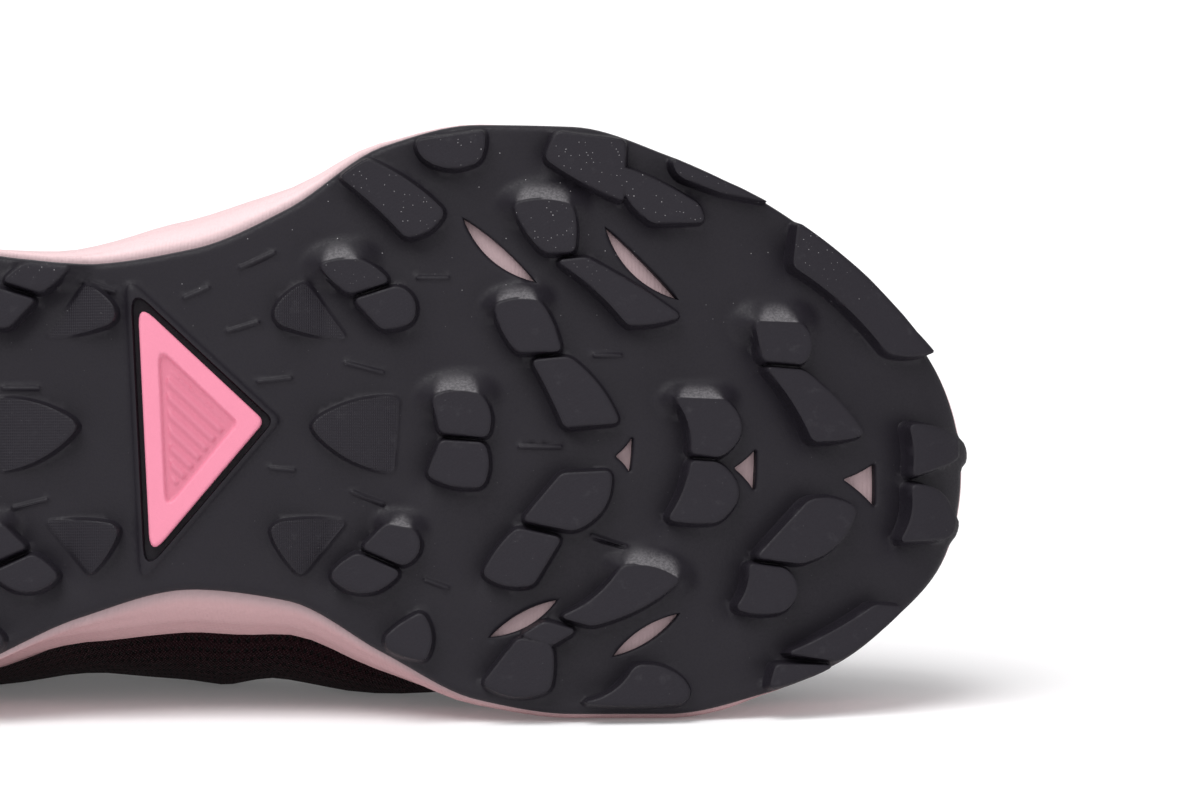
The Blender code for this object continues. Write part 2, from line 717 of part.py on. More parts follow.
def ringed(name, rings, sink_first, sink_last, finish):
    """Closed body from rings of columns; its ends are closed across, and may sink in the middle."""
    points = [point for ring in rings for point in ring]
    faces = []
    for level in range(len(rings) - 1):
        for j in range(COLUMNS):
            k = (j + 1) % COLUMNS
            a = level * COLUMNS
            b = a + COLUMNS
            faces.append([a + j, a + k, b + k])
            faces.append([a + j, b + k, b + j])
    for level, sink, flip in ((0, sink_first, True), (len(rings) - 1, sink_last, False)):
        first = level * COLUMNS
        rail = [first]
        for i in range(1, STATIONS):
            centre = (points[first + i] + points[first + COLUMNS - i]) / 2.0
            width = (points[first + i] - points[first + COLUMNS - i]).length
            rail.append(len(points))
            points.append(centre - Vector((0.0, 0.0, sink * width)))
        rail.append(first + STATIONS)
        faces += ladder(first, rail, flip)
    return solid(name, points, faces, finish)


def make_midsole():
    rings = []
    for ring in SIDE_RINGS:
        points = []
        for j in range(COLUMNS):
            out = FLARE * side_value("flare", j) * ring.flare + ring.step
            out -= TAPER * side["taper"](share_at(j)) * ring.taper
            at = plan(j, out)
            foot = on_sole(min(max(at.x, 0.0), LENGTH), at.y, TREAD_BASE + GAP)
            if ring.height == 0.0:
                points.append(foot)
                continue
            height = foot.z + (rim_height(j) - foot.z) * ring.height
            points.append(raised(at, height))
        rings.append(points)
    rings.append([raised(plan(j, rim_out(j) + GAP), rim_height(j)) for j in range(COLUMNS)])
    rings.append([raised(plan(j, feather_out(j) + GAP), floor_height(j)) for j in range(COLUMNS)])
    return ringed("midsole", rings, 0.0, CUP_SINK, "pale_foam")


def make_insole():
    low = []
    high = []
    for j in range(COLUMNS):
        at = plan(j, feather_out(j) - WALL - 2.0 * GAP)
        low.append(raised(at, floor_height(j) + 2.0 * GAP))
        high.append(raised(at, floor_height(j) + 2.0 * GAP + INSOLE))
    return ringed("insole", [low, high], CUP_SINK, CUP_SINK, "lining")


class Chart:
    """Grid of surface points and normals; a place on it is a column, a row and a depth along the normal."""

    def __init__(self, grid, normals):
        self.grid = grid
        self.columns = len(grid)
        self.rows = len(grid[0])
        self.normals = normals

    def corner(self, column, row, depth):
        return self.grid[column][row] + self.normals[column][row] * depth

    def place(self, at, depth):
        column = min(max(int(math.floor(at.x + 1e-6)), 0), self.columns - 2)
        row = min(max(int(math.floor(at.y + 1e-6)), 0), self.rows - 2)
        along = at.x - column
        up = at.y - row
        near = self.corner(column, row, depth)
        far = self.corner(column + 1, row + 1, depth)
        if along >= up:
            corner = self.corner(column + 1, row, depth)
            return near + (corner - near) * along + (far - corner) * up
        corner = self.corner(column, row + 1, depth)
        return near + (corner - near) * up + (far - corner) * along


def bezier(points, t):
    a, b, c, d = points
    s = 1.0 - t
    return a * (s * s * s) + b * (3.0 * s * s * t) + c * (3.0 * s * t * t) + d * (t * t * t)


def top_point(column):
    share = share_at(column)
    half = BALL_WIDTH * top["half"](share) * (1.0 if is_medial(column) else -1.0)
    along = LENGTH * top["along"](share)
    centre = BALL_WIDTH * middle(along / LENGTH)
    return Vector((along, centre + half, INSTEP_HEIGHT * top["height"](share)))


def upper_column(column):
    """Points of the upper's outer face from the cup floor to the collar or throat."""
    share = share_at(column)
    out = OUTWARD[column % COLUMNS]
    out = Vector((out.x, out.y, 0.0))
    feather = raised(plan(column, feather_out(column)), floor_height(column) + GAP)
    rim = raised(plan(column, rim_out(column)), rim_height(column))
    edge = top_point(column)
    value = {name: INSTEP_HEIGHT * bulge[name](share) for name in bulge}
    arch = value["arch"] if is_medial(column) else 0.0
    low = rim + out * (value["low_out"] + arch) + Vector((0.0, 0.0, value["low_up"]))
    high = edge + out * (value["high_out"] + ARCH_TOP * arch) - Vector((0.0, 0.0, value["high_drop"]))
    points = [feather]
    for k in range(ROWS):
        points.append(bezier((rim, low, high, edge), k / (ROWS - 1.0)))
    return points


def make_upper_chart():
    """Columns run once round from heel to heel, with some more at both ends for what crosses the heel."""
    once = [upper_column(j) for j in range(COLUMNS)]
    normals = []
    for j in range(COLUMNS):
        column = []
        for row in range(ROWS + 1):
            along = once[(j + 1) % COLUMNS][row] - once[j - 1][row]
            up = once[j][min(row + 1, ROWS)] - once[j][max(row - 1, 0)]
            column.append(up.cross(along).normalized())
        normals.append(column)
    for j in range(COLUMNS):
        last = once[j][ROWS]
        once[j].append(last + (last - once[j][ROWS - 1]))
        normals[j].append(normals[j][ROWS])
    order = [j % COLUMNS for j in range(-STATIONS, COLUMNS + STATIONS + 1)]
    return Chart([once[j] for j in order], [normals[j] for j in order])


UPPER = make_upper_chart()


def upper_place(column, row, depth=0.0):
    """Point on the upper; columns may be negative."""
    return UPPER.place(Vector((column + STATIONS, row)), depth)


def layered(name, chart, loops, holes, low, high, finish, shift=0.0, wrap=False):
    """Body between two depths over a region of a chart, cut along the chart's own grid."""
    xs = [point.x for loop in loops for point in loop]
    ys = [point.y for loop in loops for point in loop]
    first = int(math.floor(min(xs) + 1e-6))
    last = int(math.ceil(max(xs) - 1e-6))
    bottom = int(math.floor(min(ys) + 1e-6))
    roof = int(math.ceil(max(ys) - 1e-6))
    points = []
    number = {}
    for column in range(first, last + 1):
        for row in range(bottom, roof + 1):
            number[(column, row)] = len(points)
            points.append(Vector((column, row)))
    edges = []
    for (column, row), here in number.items():
        for step in ((1, 0), (0, 1), (1, 1)):
            there = number.get((column + step[0], row + step[1]))
            if there is not None:
                edges.append((here, there))
    verts, triangles, _, holders = triangulated(points, loops + holes, edges, 1e-5)
    kept = []
    for triangle, held in zip(triangles, holders):
        if any(loop < len(loops) for loop in held) and not any(loop >= len(loops) for loop in held):
            kept.append(list(triangle))
    if wrap:
        seam = {}
        for i, vert in enumerate(verts):
            if abs(vert.x - first) < 1e-4:
                seam[round(vert.y, 3)] = i
        joined = {i: seam[round(vert.y, 3)] for i, vert in enumerate(verts) if abs(vert.x - last) < 1e-4}
        kept = [[joined.get(i, i) for i in triangle] for triangle in kept]
    used = sorted({i for triangle in kept for i in triangle})
    place = {old: new for new, old in enumerate(used)}
    faces = [[place[i] for i in triangle] for triangle in kept]
    count = len(used)
    moved = [Vector((verts[i].x + shift, verts[i].y)) for i in used]
    body = [chart.place(at, low) for at in moved] + [chart.place(at, high) for at in moved]
    border = rim_edges(faces)
    faces += [[i + count for i in reversed(face)] for face in faces]
    for a, b in border:
        faces.append([b, a, a + count])
        faces.append([b, a + count, b + count])
    return solid(name, body, faces, finish)


def round_hole(chart, centre, diameter, shift, sides=6):
    """Round outline on a chart, true to size where it lies."""
    at = Vector((centre.x + shift, centre.y))
    step = 0.2
    per_column = (chart.place(at + Vector((step, 0.0)), 0.0) - chart.place(at - Vector((step, 0.0)), 0.0)).length
    per_row = (chart.place(at + Vector((0.0, step)), 0.0) - chart.place(at - Vector((0.0, step)), 0.0)).length
    points = []
    for k in range(sides):
        turn = 2.0 * math.pi * (k + 0.5) / sides
        across = diameter * step * math.cos(turn) / per_column
        up = diameter * step * math.sin(turn) / per_row
        points.append(centre + Vector((across, up)))
    return points


def eyelet_stations():
    return [
        FIRST_EYELET + (LAST_EYELET - FIRST_EYELET) * k / (EYELET_PAIRS - 1.0)
        for k in range(EYELET_PAIRS)
    ]


def eyelet_holes():
    holes = []
    for at in eyelet_stations():
        for column in (at, COLUMNS - at):
            holes.append(round_hole(UPPER, Vector((column, EYELET_ROW)), EYELET, STATIONS))
    return holes


def make_upper():
    whole = [Vector((0.0, 0.0)), Vector((COLUMNS, 0.0)), Vector((COLUMNS, ROWS)), Vector((0.0, ROWS))]
    return layered("upper", UPPER, [whole], eyelet_holes(), -WALL, 0.0, "dark_mesh", STATIONS, True)


# Rows of overlay edges by column from the heel or the toe
Edge = namedtuple("Edge", "column row")
COUNTER_EDGE = [Edge(0, 5.2), Edge(2, 5.0), Edge(4, 4.4), Edge(6, 3.4), Edge(8, 2.4), Edge(9.3, 1.6)]
TOE_EDGE = [Edge(0, 3.4), Edge(2, 3.3), Edge(4, 3.0), Edge(6, 2.5), Edge(8, 1.95), Edge(9.4, 1.5)]


def skirt(edge, centre):
    """Region above the rim and under an edge, the same on both sides of a centre column."""
    reach = edge[-1].column
    lower = [Vector((centre - reach, OVERLAY_FOOT)), Vector((centre + reach, OVERLAY_FOOT))]
    right = [Vector((centre + point.column, point.row)) for point in reversed(edge)]
    left = [Vector((centre - point.column, point.row)) for point in edge[1:]]
    return lower + right + left


def make_counter():
    loop = skirt(COUNTER_EDGE, 0.0)
    return layered("heel_counter", UPPER, [loop], [], GAP, GAP + COUNTER, "black_film", STATIONS)


def make_toe_cap():
    loop = skirt(TOE_EDGE, STATIONS)
    return layered("toe_cap", UPPER, [loop], [], GAP, GAP + OVERLAY, "black_film", STATIONS)


EYESTAY_EDGE = [Edge(12.6, 6.6), Edge(15, 6.75), Edge(18, 6.7), Edge(21, 6.65), Edge(25, 6.7), Edge(30, 6.75)]
EYESTAY_MARGIN = 0.12


def make_eyestay():
    start = EYESTAY_EDGE[0].column
    lower = [Vector((point.column, point.row)) for point in EYESTAY_EDGE]
    lower += [Vector((COLUMNS - point.column, point.row)) for point in reversed(EYESTAY_EDGE[:-1])]
    upper = [Vector((COLUMNS - start, ROWS - EYESTAY_MARGIN)), Vector((start, ROWS - EYESTAY_MARGIN))]
    loop = lower + upper
    return layered("eyestay", UPPER, [loop], eyelet_holes(), GAP, GAP + OVERLAY, "black_film", STATIONS)


COLLAR_EDGE = [Edge(0, 4.6), Edge(6, 4.8), Edge(10, 5.2), Edge(12.4, 6.3)]


def make_collar():
    reach = COLLAR_EDGE[-1].column
    roof = ROWS + PADDING_RISE
    left = [Vector((-point.column, point.row)) for point in reversed(COLLAR_EDGE[1:])]
    right = [Vector((point.column, point.row)) for point in COLLAR_EDGE]
    loop = left + right + [Vector((reach, roof)), Vector((-reach, roof))]
    depth = -WALL - GAP
    return layered("collar_padding", UPPER, [loop], [], depth - PADDING, depth, "lining", STATIONS)


TAB_HALF = 0.42
TAB_FOOT = 5.5
TAB_RISE = 0.75


def make_tab():
    loop = [
        Vector((-TAB_HALF, TAB_FOOT)),
        Vector((TAB_HALF, TAB_FOOT)),
        Vector((TAB_HALF, ROWS + TAB_RISE)),
        Vector((-TAB_HALF, ROWS + TAB_RISE)),
    ]
    return layered("pull_tab", UPPER, [loop], [], GAP, GAP + TAB_THICKNESS, "webbing", STATIONS)


THROAT_STEPS = 4
THROAT_CROWN = 0.10
TONGUE_ROWS = 2
TONGUE_LEAN = 0.85
TONGUE_TAPER = 0.74
FRONT_DROP = 0.8

# Two lines across the vamp in front of the throat, from the medial side to the middle: columns, rows under the edge
FrontLine = namedtuple("FrontLine", "columns drops")
FRONT_LINES = [
    FrontLine((THROAT_END + 1, THROAT_END + 2, 26, STATIONS), (1, 0, 0, 0)),
    FrontLine((THROAT_END + 2, 24, 27, STATIONS), (1, 1, 1, 1)),
]


def make_instep_chart():
    """Surface over tongue and throat: rows of columns run across from the medial to the lateral side."""
    rows = []
    for i in range(THROAT_TOP, THROAT_END + 1):
        medial = [(i, ROWS - 1), (i, ROWS)]
        lateral = [(COLUMNS - i, ROWS), (COLUMNS - i, ROWS - 1)]
        rows.append((medial, lateral))
    grid = []
    normals = []
    for medial, lateral in rows:
        near = upper_place(*medial[1])
        far = upper_place(*lateral[0])
        line = [upper_place(*place) for place in medial]
        for k in range(1, THROAT_STEPS):
            t = k / THROAT_STEPS
            crown = THROAT_CROWN * 4.0 * t * (1.0 - t) * (near - far).length
            line.append(near.lerp(far, t) + Vector((0.0, 0.0, crown)))
        line += [upper_place(*place) for place in lateral]
        grid.append(line)
    front = []
    for columns, rows_up in FRONT_LINES:
        whole = list(columns) + [COLUMNS - column for column in reversed(columns[:-1])]
        drops = list(rows_up) + list(reversed(rows_up[:-1]))
        front.append([(column, ROWS - drop) for column, drop in zip(whole, drops)])
    for line in front:
        grid.append([upper_place(*place, -FRONT_DROP) for place in line])
    first = grid[0]
    centre = (first[1] + first[-2]) / 2.0
    for k in range(1, TONGUE_ROWS + 1):
        rise = TONGUE_RISE * k / TONGUE_ROWS
        shift = Vector((-TONGUE_LEAN * rise, 0.0, rise))
        line = []
        for point in first:
            across = point.y - centre.y
            line.append(Vector((point.x, centre.y + across * TONGUE_TAPER, point.z)) + shift)
        grid.insert(0, line)
    for i, line in enumerate(grid):
        column = []
        for k in range(len(line)):
            along = grid[min(i + 1, len(grid) - 1)][k] - grid[max(i - 1, 0)][k]
            across = line[min(k + 1, len(line) - 1)] - line[max(k - 1, 0)]
            column.append(across.cross(along).normalized())
        normals.append(column)
    band = {0: 0, 1: 0, THROAT_STEPS + 1: 1, THROAT_STEPS + 2: 1}
    for i, (medial, lateral) in enumerate(rows):
        for k in band:
            place = (medial + [None] * (THROAT_STEPS - 1) + lateral)[k]
            outer = upper_place(*place, 1.0) - upper_place(*place)
            normals[i + TONGUE_ROWS][k] = outer.normalized()
    for i, line in enumerate(front):
        for k, place in enumerate(line):
            outer = upper_place(*place, 1.0) - upper_place(*place)
            normals[len(rows) + TONGUE_ROWS + i][k] = outer.normalized()
    return Chart(grid, normals)


INSTEP = make_instep_chart()
ACROSS = THROAT_STEPS + 2
TONGUE_EDGE = 0.08


def make_tongue():
    last = INSTEP.columns - 1.0
    side_edge = [Edge(0.0, 1.9), Edge(0.8, 0.95), Edge(1.9, 0.7), Edge(2.4, TONGUE_EDGE), Edge(last, TONGUE_EDGE)]
    loop = [Vector((point.column, point.row)) for point in side_edge]
    loop += [Vector((point.column, ACROSS - point.row)) for point in reversed(side_edge)]
    depth = -WALL - GAP - 0.1
    return layered("tongue", INSTEP, [loop], [], depth - TONGUE, depth, "lining")


def strip(start, end):
    """Outline of a lace run between two places, true to its width."""
    step = 0.1
    middle_at = (start + end) / 2.0
    along_step = Vector((step, 0.0))
    across_step = Vector((0.0, step))
    per_along = (INSTEP.place(middle_at + along_step, 0.0) - INSTEP.place(middle_at - along_step, 0.0)).length
    per_across = (INSTEP.place(middle_at + across_step, 0.0) - INSTEP.place(middle_at - across_step, 0.0)).length
    per_along /= 2.0 * step
    per_across /= 2.0 * step
    run = Vector(((end.x - start.x) * per_along, (end.y - start.y) * per_across)).normalized()
    half = LACE_WIDTH / 2.0
    width = Vector((-run.y * half / per_along, run.x * half / per_across))
    tip = Vector((run.x * half / per_along, run.y * half / per_across))
    return [start - tip - width, end + tip - width, end + tip + width, start - tip + width]


def make_laces():
    medial = ROWS - EYELET_ROW
    lateral = ACROSS - medial
    places = [at - THROAT_TOP + TONGUE_ROWS for at in eyelet_stations()]
    loops = [strip(Vector((places[-1], medial)), Vector((places[-1], lateral)))]
    for near, far in zip(places, places[1:]):
        loops.append(strip(Vector((near, medial)), Vector((far, lateral))))
        loops.append(strip(Vector((far, medial)), Vector((near, lateral))))
    depth = 2.0 * GAP + OVERLAY
    return layered("laces", INSTEP, loops, [], depth, depth + LACE_THICKNESS, "webbing")


def resting_turn(bodies):
    """Turn that lays the medial side down on the face of the hull under the centre of mass."""
    hull = bmesh.new()
    centre = Vector((0.0, 0.0, 0.0))
    weight = 0.0
    for body in bodies:
        for polygon in body.data.polygons:
            first = body.data.vertices[polygon.vertices[0]].co
            for b, c in zip(polygon.vertices[1:], polygon.vertices[2:]):
                second = body.data.vertices[b].co
                third = body.data.vertices[c].co
                volume = first.dot(second.cross(third)) / 6.0 * DENSITIES[body.name]
                weight += volume
                centre += volume * (first + second + third) / 4.0
        for vert in body.data.vertices:
            hull.verts.new(vert.co)
    centre /= weight
    bmesh.ops.convex_hull(hull, input=hull.verts[:])
    normal = Vector((0.0, 1.0, 0.0))
    for face in hull.faces:
        if face.normal.y < 0.8:
            continue
        foot = centre + face.normal * (face.verts[0].co - centre).dot(face.normal)
        edges = zip(face.verts[:], face.verts[1:] + face.verts[:1])
        if all((b.co - a.co).cross(foot - a.co).dot(face.normal) >= 0.0 for a, b in edges):
            normal = face.normal.copy()
    hull.free()
    down = -normal
    along = Vector((1.0, 0.0, 0.0))
    along = (along - down * along.dot(down)).normalized()
    back = down.cross(along)
    return Matrix((along, back, down)).to_4x4()


# Relative densities for the centre of mass
DENSITIES = {
    "outsole": 1.2,
    "outsole_insert": 1.2,
    "midsole": 0.3,
    "upper": 0.3,
    "insole": 0.3,
    "tongue": 0.3,
    "heel_counter": 1.1,
    "toe_cap": 1.1,
    "eyestay": 1.1,
    "collar_padding": 0.3,
    "laces": 0.3,
    "pull_tab": 0.3,
}


def lay_down(bodies):
    turn = resting_turn(bodies)
    points = [turn @ vert.co for body in bodies for vert in body.data.vertices]
    low = Vector([min(point[k] for point in points) for k in range(3)])
    high = Vector([max(point[k] for point in points) for k in range(3)])
    shift = Vector((-(low.x + high.x) / 2.0, -(low.y + high.y) / 2.0, -low.z))
    shoe.matrix_world = Matrix.Translation(shift) @ turn


def main():
    for old in list(bpy.data.objects):
        if old is not shoe:
            bpy.data.objects.remove(old, do_unlink=True)
    bpy.context.scene.collection.objects.link(shoe)
    bodies = [
        make_outsole(),
        make_insert(),
        make_midsole(),
        make_insole(),
        make_upper(),
        make_counter(),
        make_toe_cap(),
        make_eyestay(),
        make_collar(),
        make_tongue(),
        make_laces(),
        make_tab(),
    ]
    lay_down(bodies)
    bpy.context.view_layer.update()


main()
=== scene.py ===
# Looks of the trail running shoe: finer forms, cloth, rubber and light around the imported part.
#
# The shoe is worked out upright in millimetres, as in the part's source: x runs from heel to toe, y to the
# medial side and z up from the tread. Its place in the row frame comes from the record's two flat places.
import json
import math
from collections import namedtuple

import bmesh
import bpy
import numpy as np
from mathutils import Matrix, Vector
from mathutils.geometry import delaunay_2d_cdt
from mathutils.kdtree import KDTree


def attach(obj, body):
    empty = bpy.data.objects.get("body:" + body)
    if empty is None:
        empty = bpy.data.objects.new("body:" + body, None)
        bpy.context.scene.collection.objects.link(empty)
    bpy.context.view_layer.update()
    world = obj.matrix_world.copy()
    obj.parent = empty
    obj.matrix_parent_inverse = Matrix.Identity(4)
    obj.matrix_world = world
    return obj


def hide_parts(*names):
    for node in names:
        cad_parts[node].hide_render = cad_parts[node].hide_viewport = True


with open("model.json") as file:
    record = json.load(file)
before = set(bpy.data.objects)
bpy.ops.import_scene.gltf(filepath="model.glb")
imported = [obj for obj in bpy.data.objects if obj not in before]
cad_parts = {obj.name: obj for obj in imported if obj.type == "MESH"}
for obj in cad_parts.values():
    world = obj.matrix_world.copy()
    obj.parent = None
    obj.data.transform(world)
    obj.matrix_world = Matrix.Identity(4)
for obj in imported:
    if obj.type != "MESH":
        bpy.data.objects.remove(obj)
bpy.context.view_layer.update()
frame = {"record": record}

MM = 0.001


def table(columns, *rows):
    """Rows of a table with named columns."""
    row_of = namedtuple("Row", columns)
    return [row_of(*row) for row in rows]


# Driving sizes of the sole
LENGTH = 284.0
BALL_WIDTH = 106.0
TOE_SPRING = 16.8
TOE_CURL = 4.0
HEEL_BEVEL = 7.0
LUG_HEIGHT = 3.5
TREAD_BASE = 1.8
HEEL_STACK = 26.0
RIM_HEIGHT = 17.0
FLARE = 8.0
TAPER = 6.0
CUP_SINK = 0.02
FEATHER_INSET = 7.5
GAP = 0.3
END_MARGIN = 0.012

# Driving sizes of the upper and what is sewn to it
INSTEP_HEIGHT = 107.0
WALL = 2.0
OVERLAY = 1.0
COUNTER = 1.2
INSOLE = 4.2
TONGUE = 5.0
TONGUE_RISE = 20.0
PADDING = 5.0
PADDING_RISE = 0.35
LACE_WIDTH = 6.5
LACE_THICKNESS = 1.4
EYELET = 4.4
EYELET_PAIRS = 6
TAB_THICKNESS = 1.6

# Insert in the sole
INSERT_PROUD = 1.5
INSERT_RECESS = 0.6
INSERT_BORDER = 3.2
INSERT_DRAFT = 0.5
WELL_GROOVE = 1.0
LIP_HEIGHT = 1.0
LIP_WIDTH = 1.2

# Sections of the mesh
STATIONS = 30
COLUMNS = 2 * STATIONS
ROWS = 8
SPRING_START = 0.722
CURL_START = 0.965
BEVEL_END = 0.106

OUTLINE = table(
    "share medial lateral",
    (0.000, 0.000, 0.000),
    (0.020, 0.165, 0.165),
    (0.070, 0.300, 0.300),
    (0.130, 0.367, 0.368),
    (0.200, 0.387, 0.395),
    (0.280, 0.372, 0.398),
    (0.360, 0.322, 0.391),
    (0.440, 0.228, 0.369),
    (0.510, 0.181, 0.395),
    (0.570, 0.200, 0.463),
    (0.630, 0.287, 0.568),
    (0.690, 0.367, 0.605),
    (0.750, 0.391, 0.602),
    (0.810, 0.391, 0.555),
    (0.870, 0.358, 0.480),
    (0.920, 0.304, 0.387),
    (0.960, 0.219, 0.279),
    (0.985, 0.144, 0.185),
    (1.000, -0.020, 0.020),
)

# Cup floor over the tread, rim over the floor, how far the side stands out, how far the upper stands in
SIDES = table(
    "share floor rim taper flare_medial flare_lateral inset_medial inset_lateral",
    (0.00, 1.02, 1.00, 1.00, 0.12, 0.12, 1.20, 1.20),
    (0.13, 1.00, 1.00, 1.00, 0.12, 0.15, 1.20, 1.20),
    (0.28, 0.94, 0.88, 0.85, 0.42, 0.35, 0.88, 1.00),
    (0.40, 0.84, 0.74, 0.50, 0.98, 0.70, 0.10, 0.50),
    (0.52, 0.72, 0.64, 0.35, 1.10, 0.85, -0.20, 0.18),
    (0.62, 0.64, 0.58, 0.40, 0.72, 0.48, 0.45, 0.48),
    (0.72, 0.60, 0.55, 0.45, 0.12, 0.10, 0.80, 0.82),
    (0.82, 0.65, 0.54, 0.45, 0.06, 0.06, 0.84, 0.86),
    (0.92, 0.82, 0.56, 0.45, 0.05, 0.05, 0.86, 0.86),
    (1.00, 1.02, 0.58, 0.45, 0.05, 0.05, 0.86, 0.86),
)

# Rings of the midsole's side from tread to rim: shares of the height, flare and taper, and a step in mm
SIDE_RINGS = table(
    "share flare taper step",
    (0.00, 0.10, 0.00, -0.3),
    (0.07, 0.45, 0.00, 0.7),
    (0.15, 0.60, 0.05, 0.7),
    (0.19, 0.60, 0.10, -0.5),
    (0.45, 0.95, 0.35, 0.2),
    (0.74, 1.00, 0.65, 0.0),
    (1.00, 0.80, 1.00, -0.2),
)

# Edge of collar and throat: place along the length, half width, height
TOPLINE = table(
    "share along half height",
    (0.00, 0.028, 0.000, 0.963),
    (0.02, 0.032, 0.094, 0.958),
    (0.07, 0.056, 0.189, 0.925),
    (0.13, 0.109, 0.262, 0.841),
    (0.20, 0.183, 0.298, 0.766),
    (0.28, 0.275, 0.305, 0.757),
    (0.34, 0.342, 0.280, 0.860),
    (0.40, 0.394, 0.215, 1.000),
    (0.46, 0.447, 0.175, 0.977),
    (0.54, 0.528, 0.146, 0.902),
    (0.62, 0.609, 0.121, 0.818),
    (0.70, 0.687, 0.102, 0.743),
    (0.76, 0.732, 0.085, 0.701),
    (0.84, 0.743, 0.061, 0.692),
    (0.92, 0.748, 0.036, 0.688),
    (1.00, 0.750, 0.000, 0.687),
)

# How the wall bulges between rim and edge, and over the medial arch, in shares of the instep height
BULGES = table(
    "share rim_out low_up low_out high_out high_drop arch",
    (0.00, 0.009, 0.24, 0.037, 0.028, 0.206, 0.000),
    (0.13, 0.011, 0.21, 0.028, 0.040, 0.131, 0.000),
    (0.28, 0.012, 0.19, 0.028, 0.040, 0.131, 0.000),
    (0.40, 0.013, 0.23, 0.060, 0.080, 0.168, 0.055),
    (0.54, 0.013, 0.20, 0.065, 0.150, 0.084, 0.205),
    (0.63, 0.012, 0.18, 0.045, 0.180, 0.060, 0.190),
    (0.70, 0.011, 0.18, 0.024, 0.206, 0.047, 0.040),
    (0.76, 0.010, 0.18, 0.019, 0.224, 0.037, 0.000),
    (0.84, 0.009, 0.17, 0.017, 0.262, 0.037, 0.000),
    (0.92, 0.009, 0.16, 0.017, 0.318, 0.042, 0.000),
    (1.00, 0.009, 0.16, 0.017, 0.340, 0.050, 0.000),
)
ARCH_TOP = 0.15

# Middle line of the collar and throat
MIDDLES = table(
    "share shift",
    (0.00, 0.000),
    (0.20, -0.005),
    (0.40, -0.038),
    (0.54, -0.066),
    (0.70, -0.080),
    (1.00, -0.080),
)

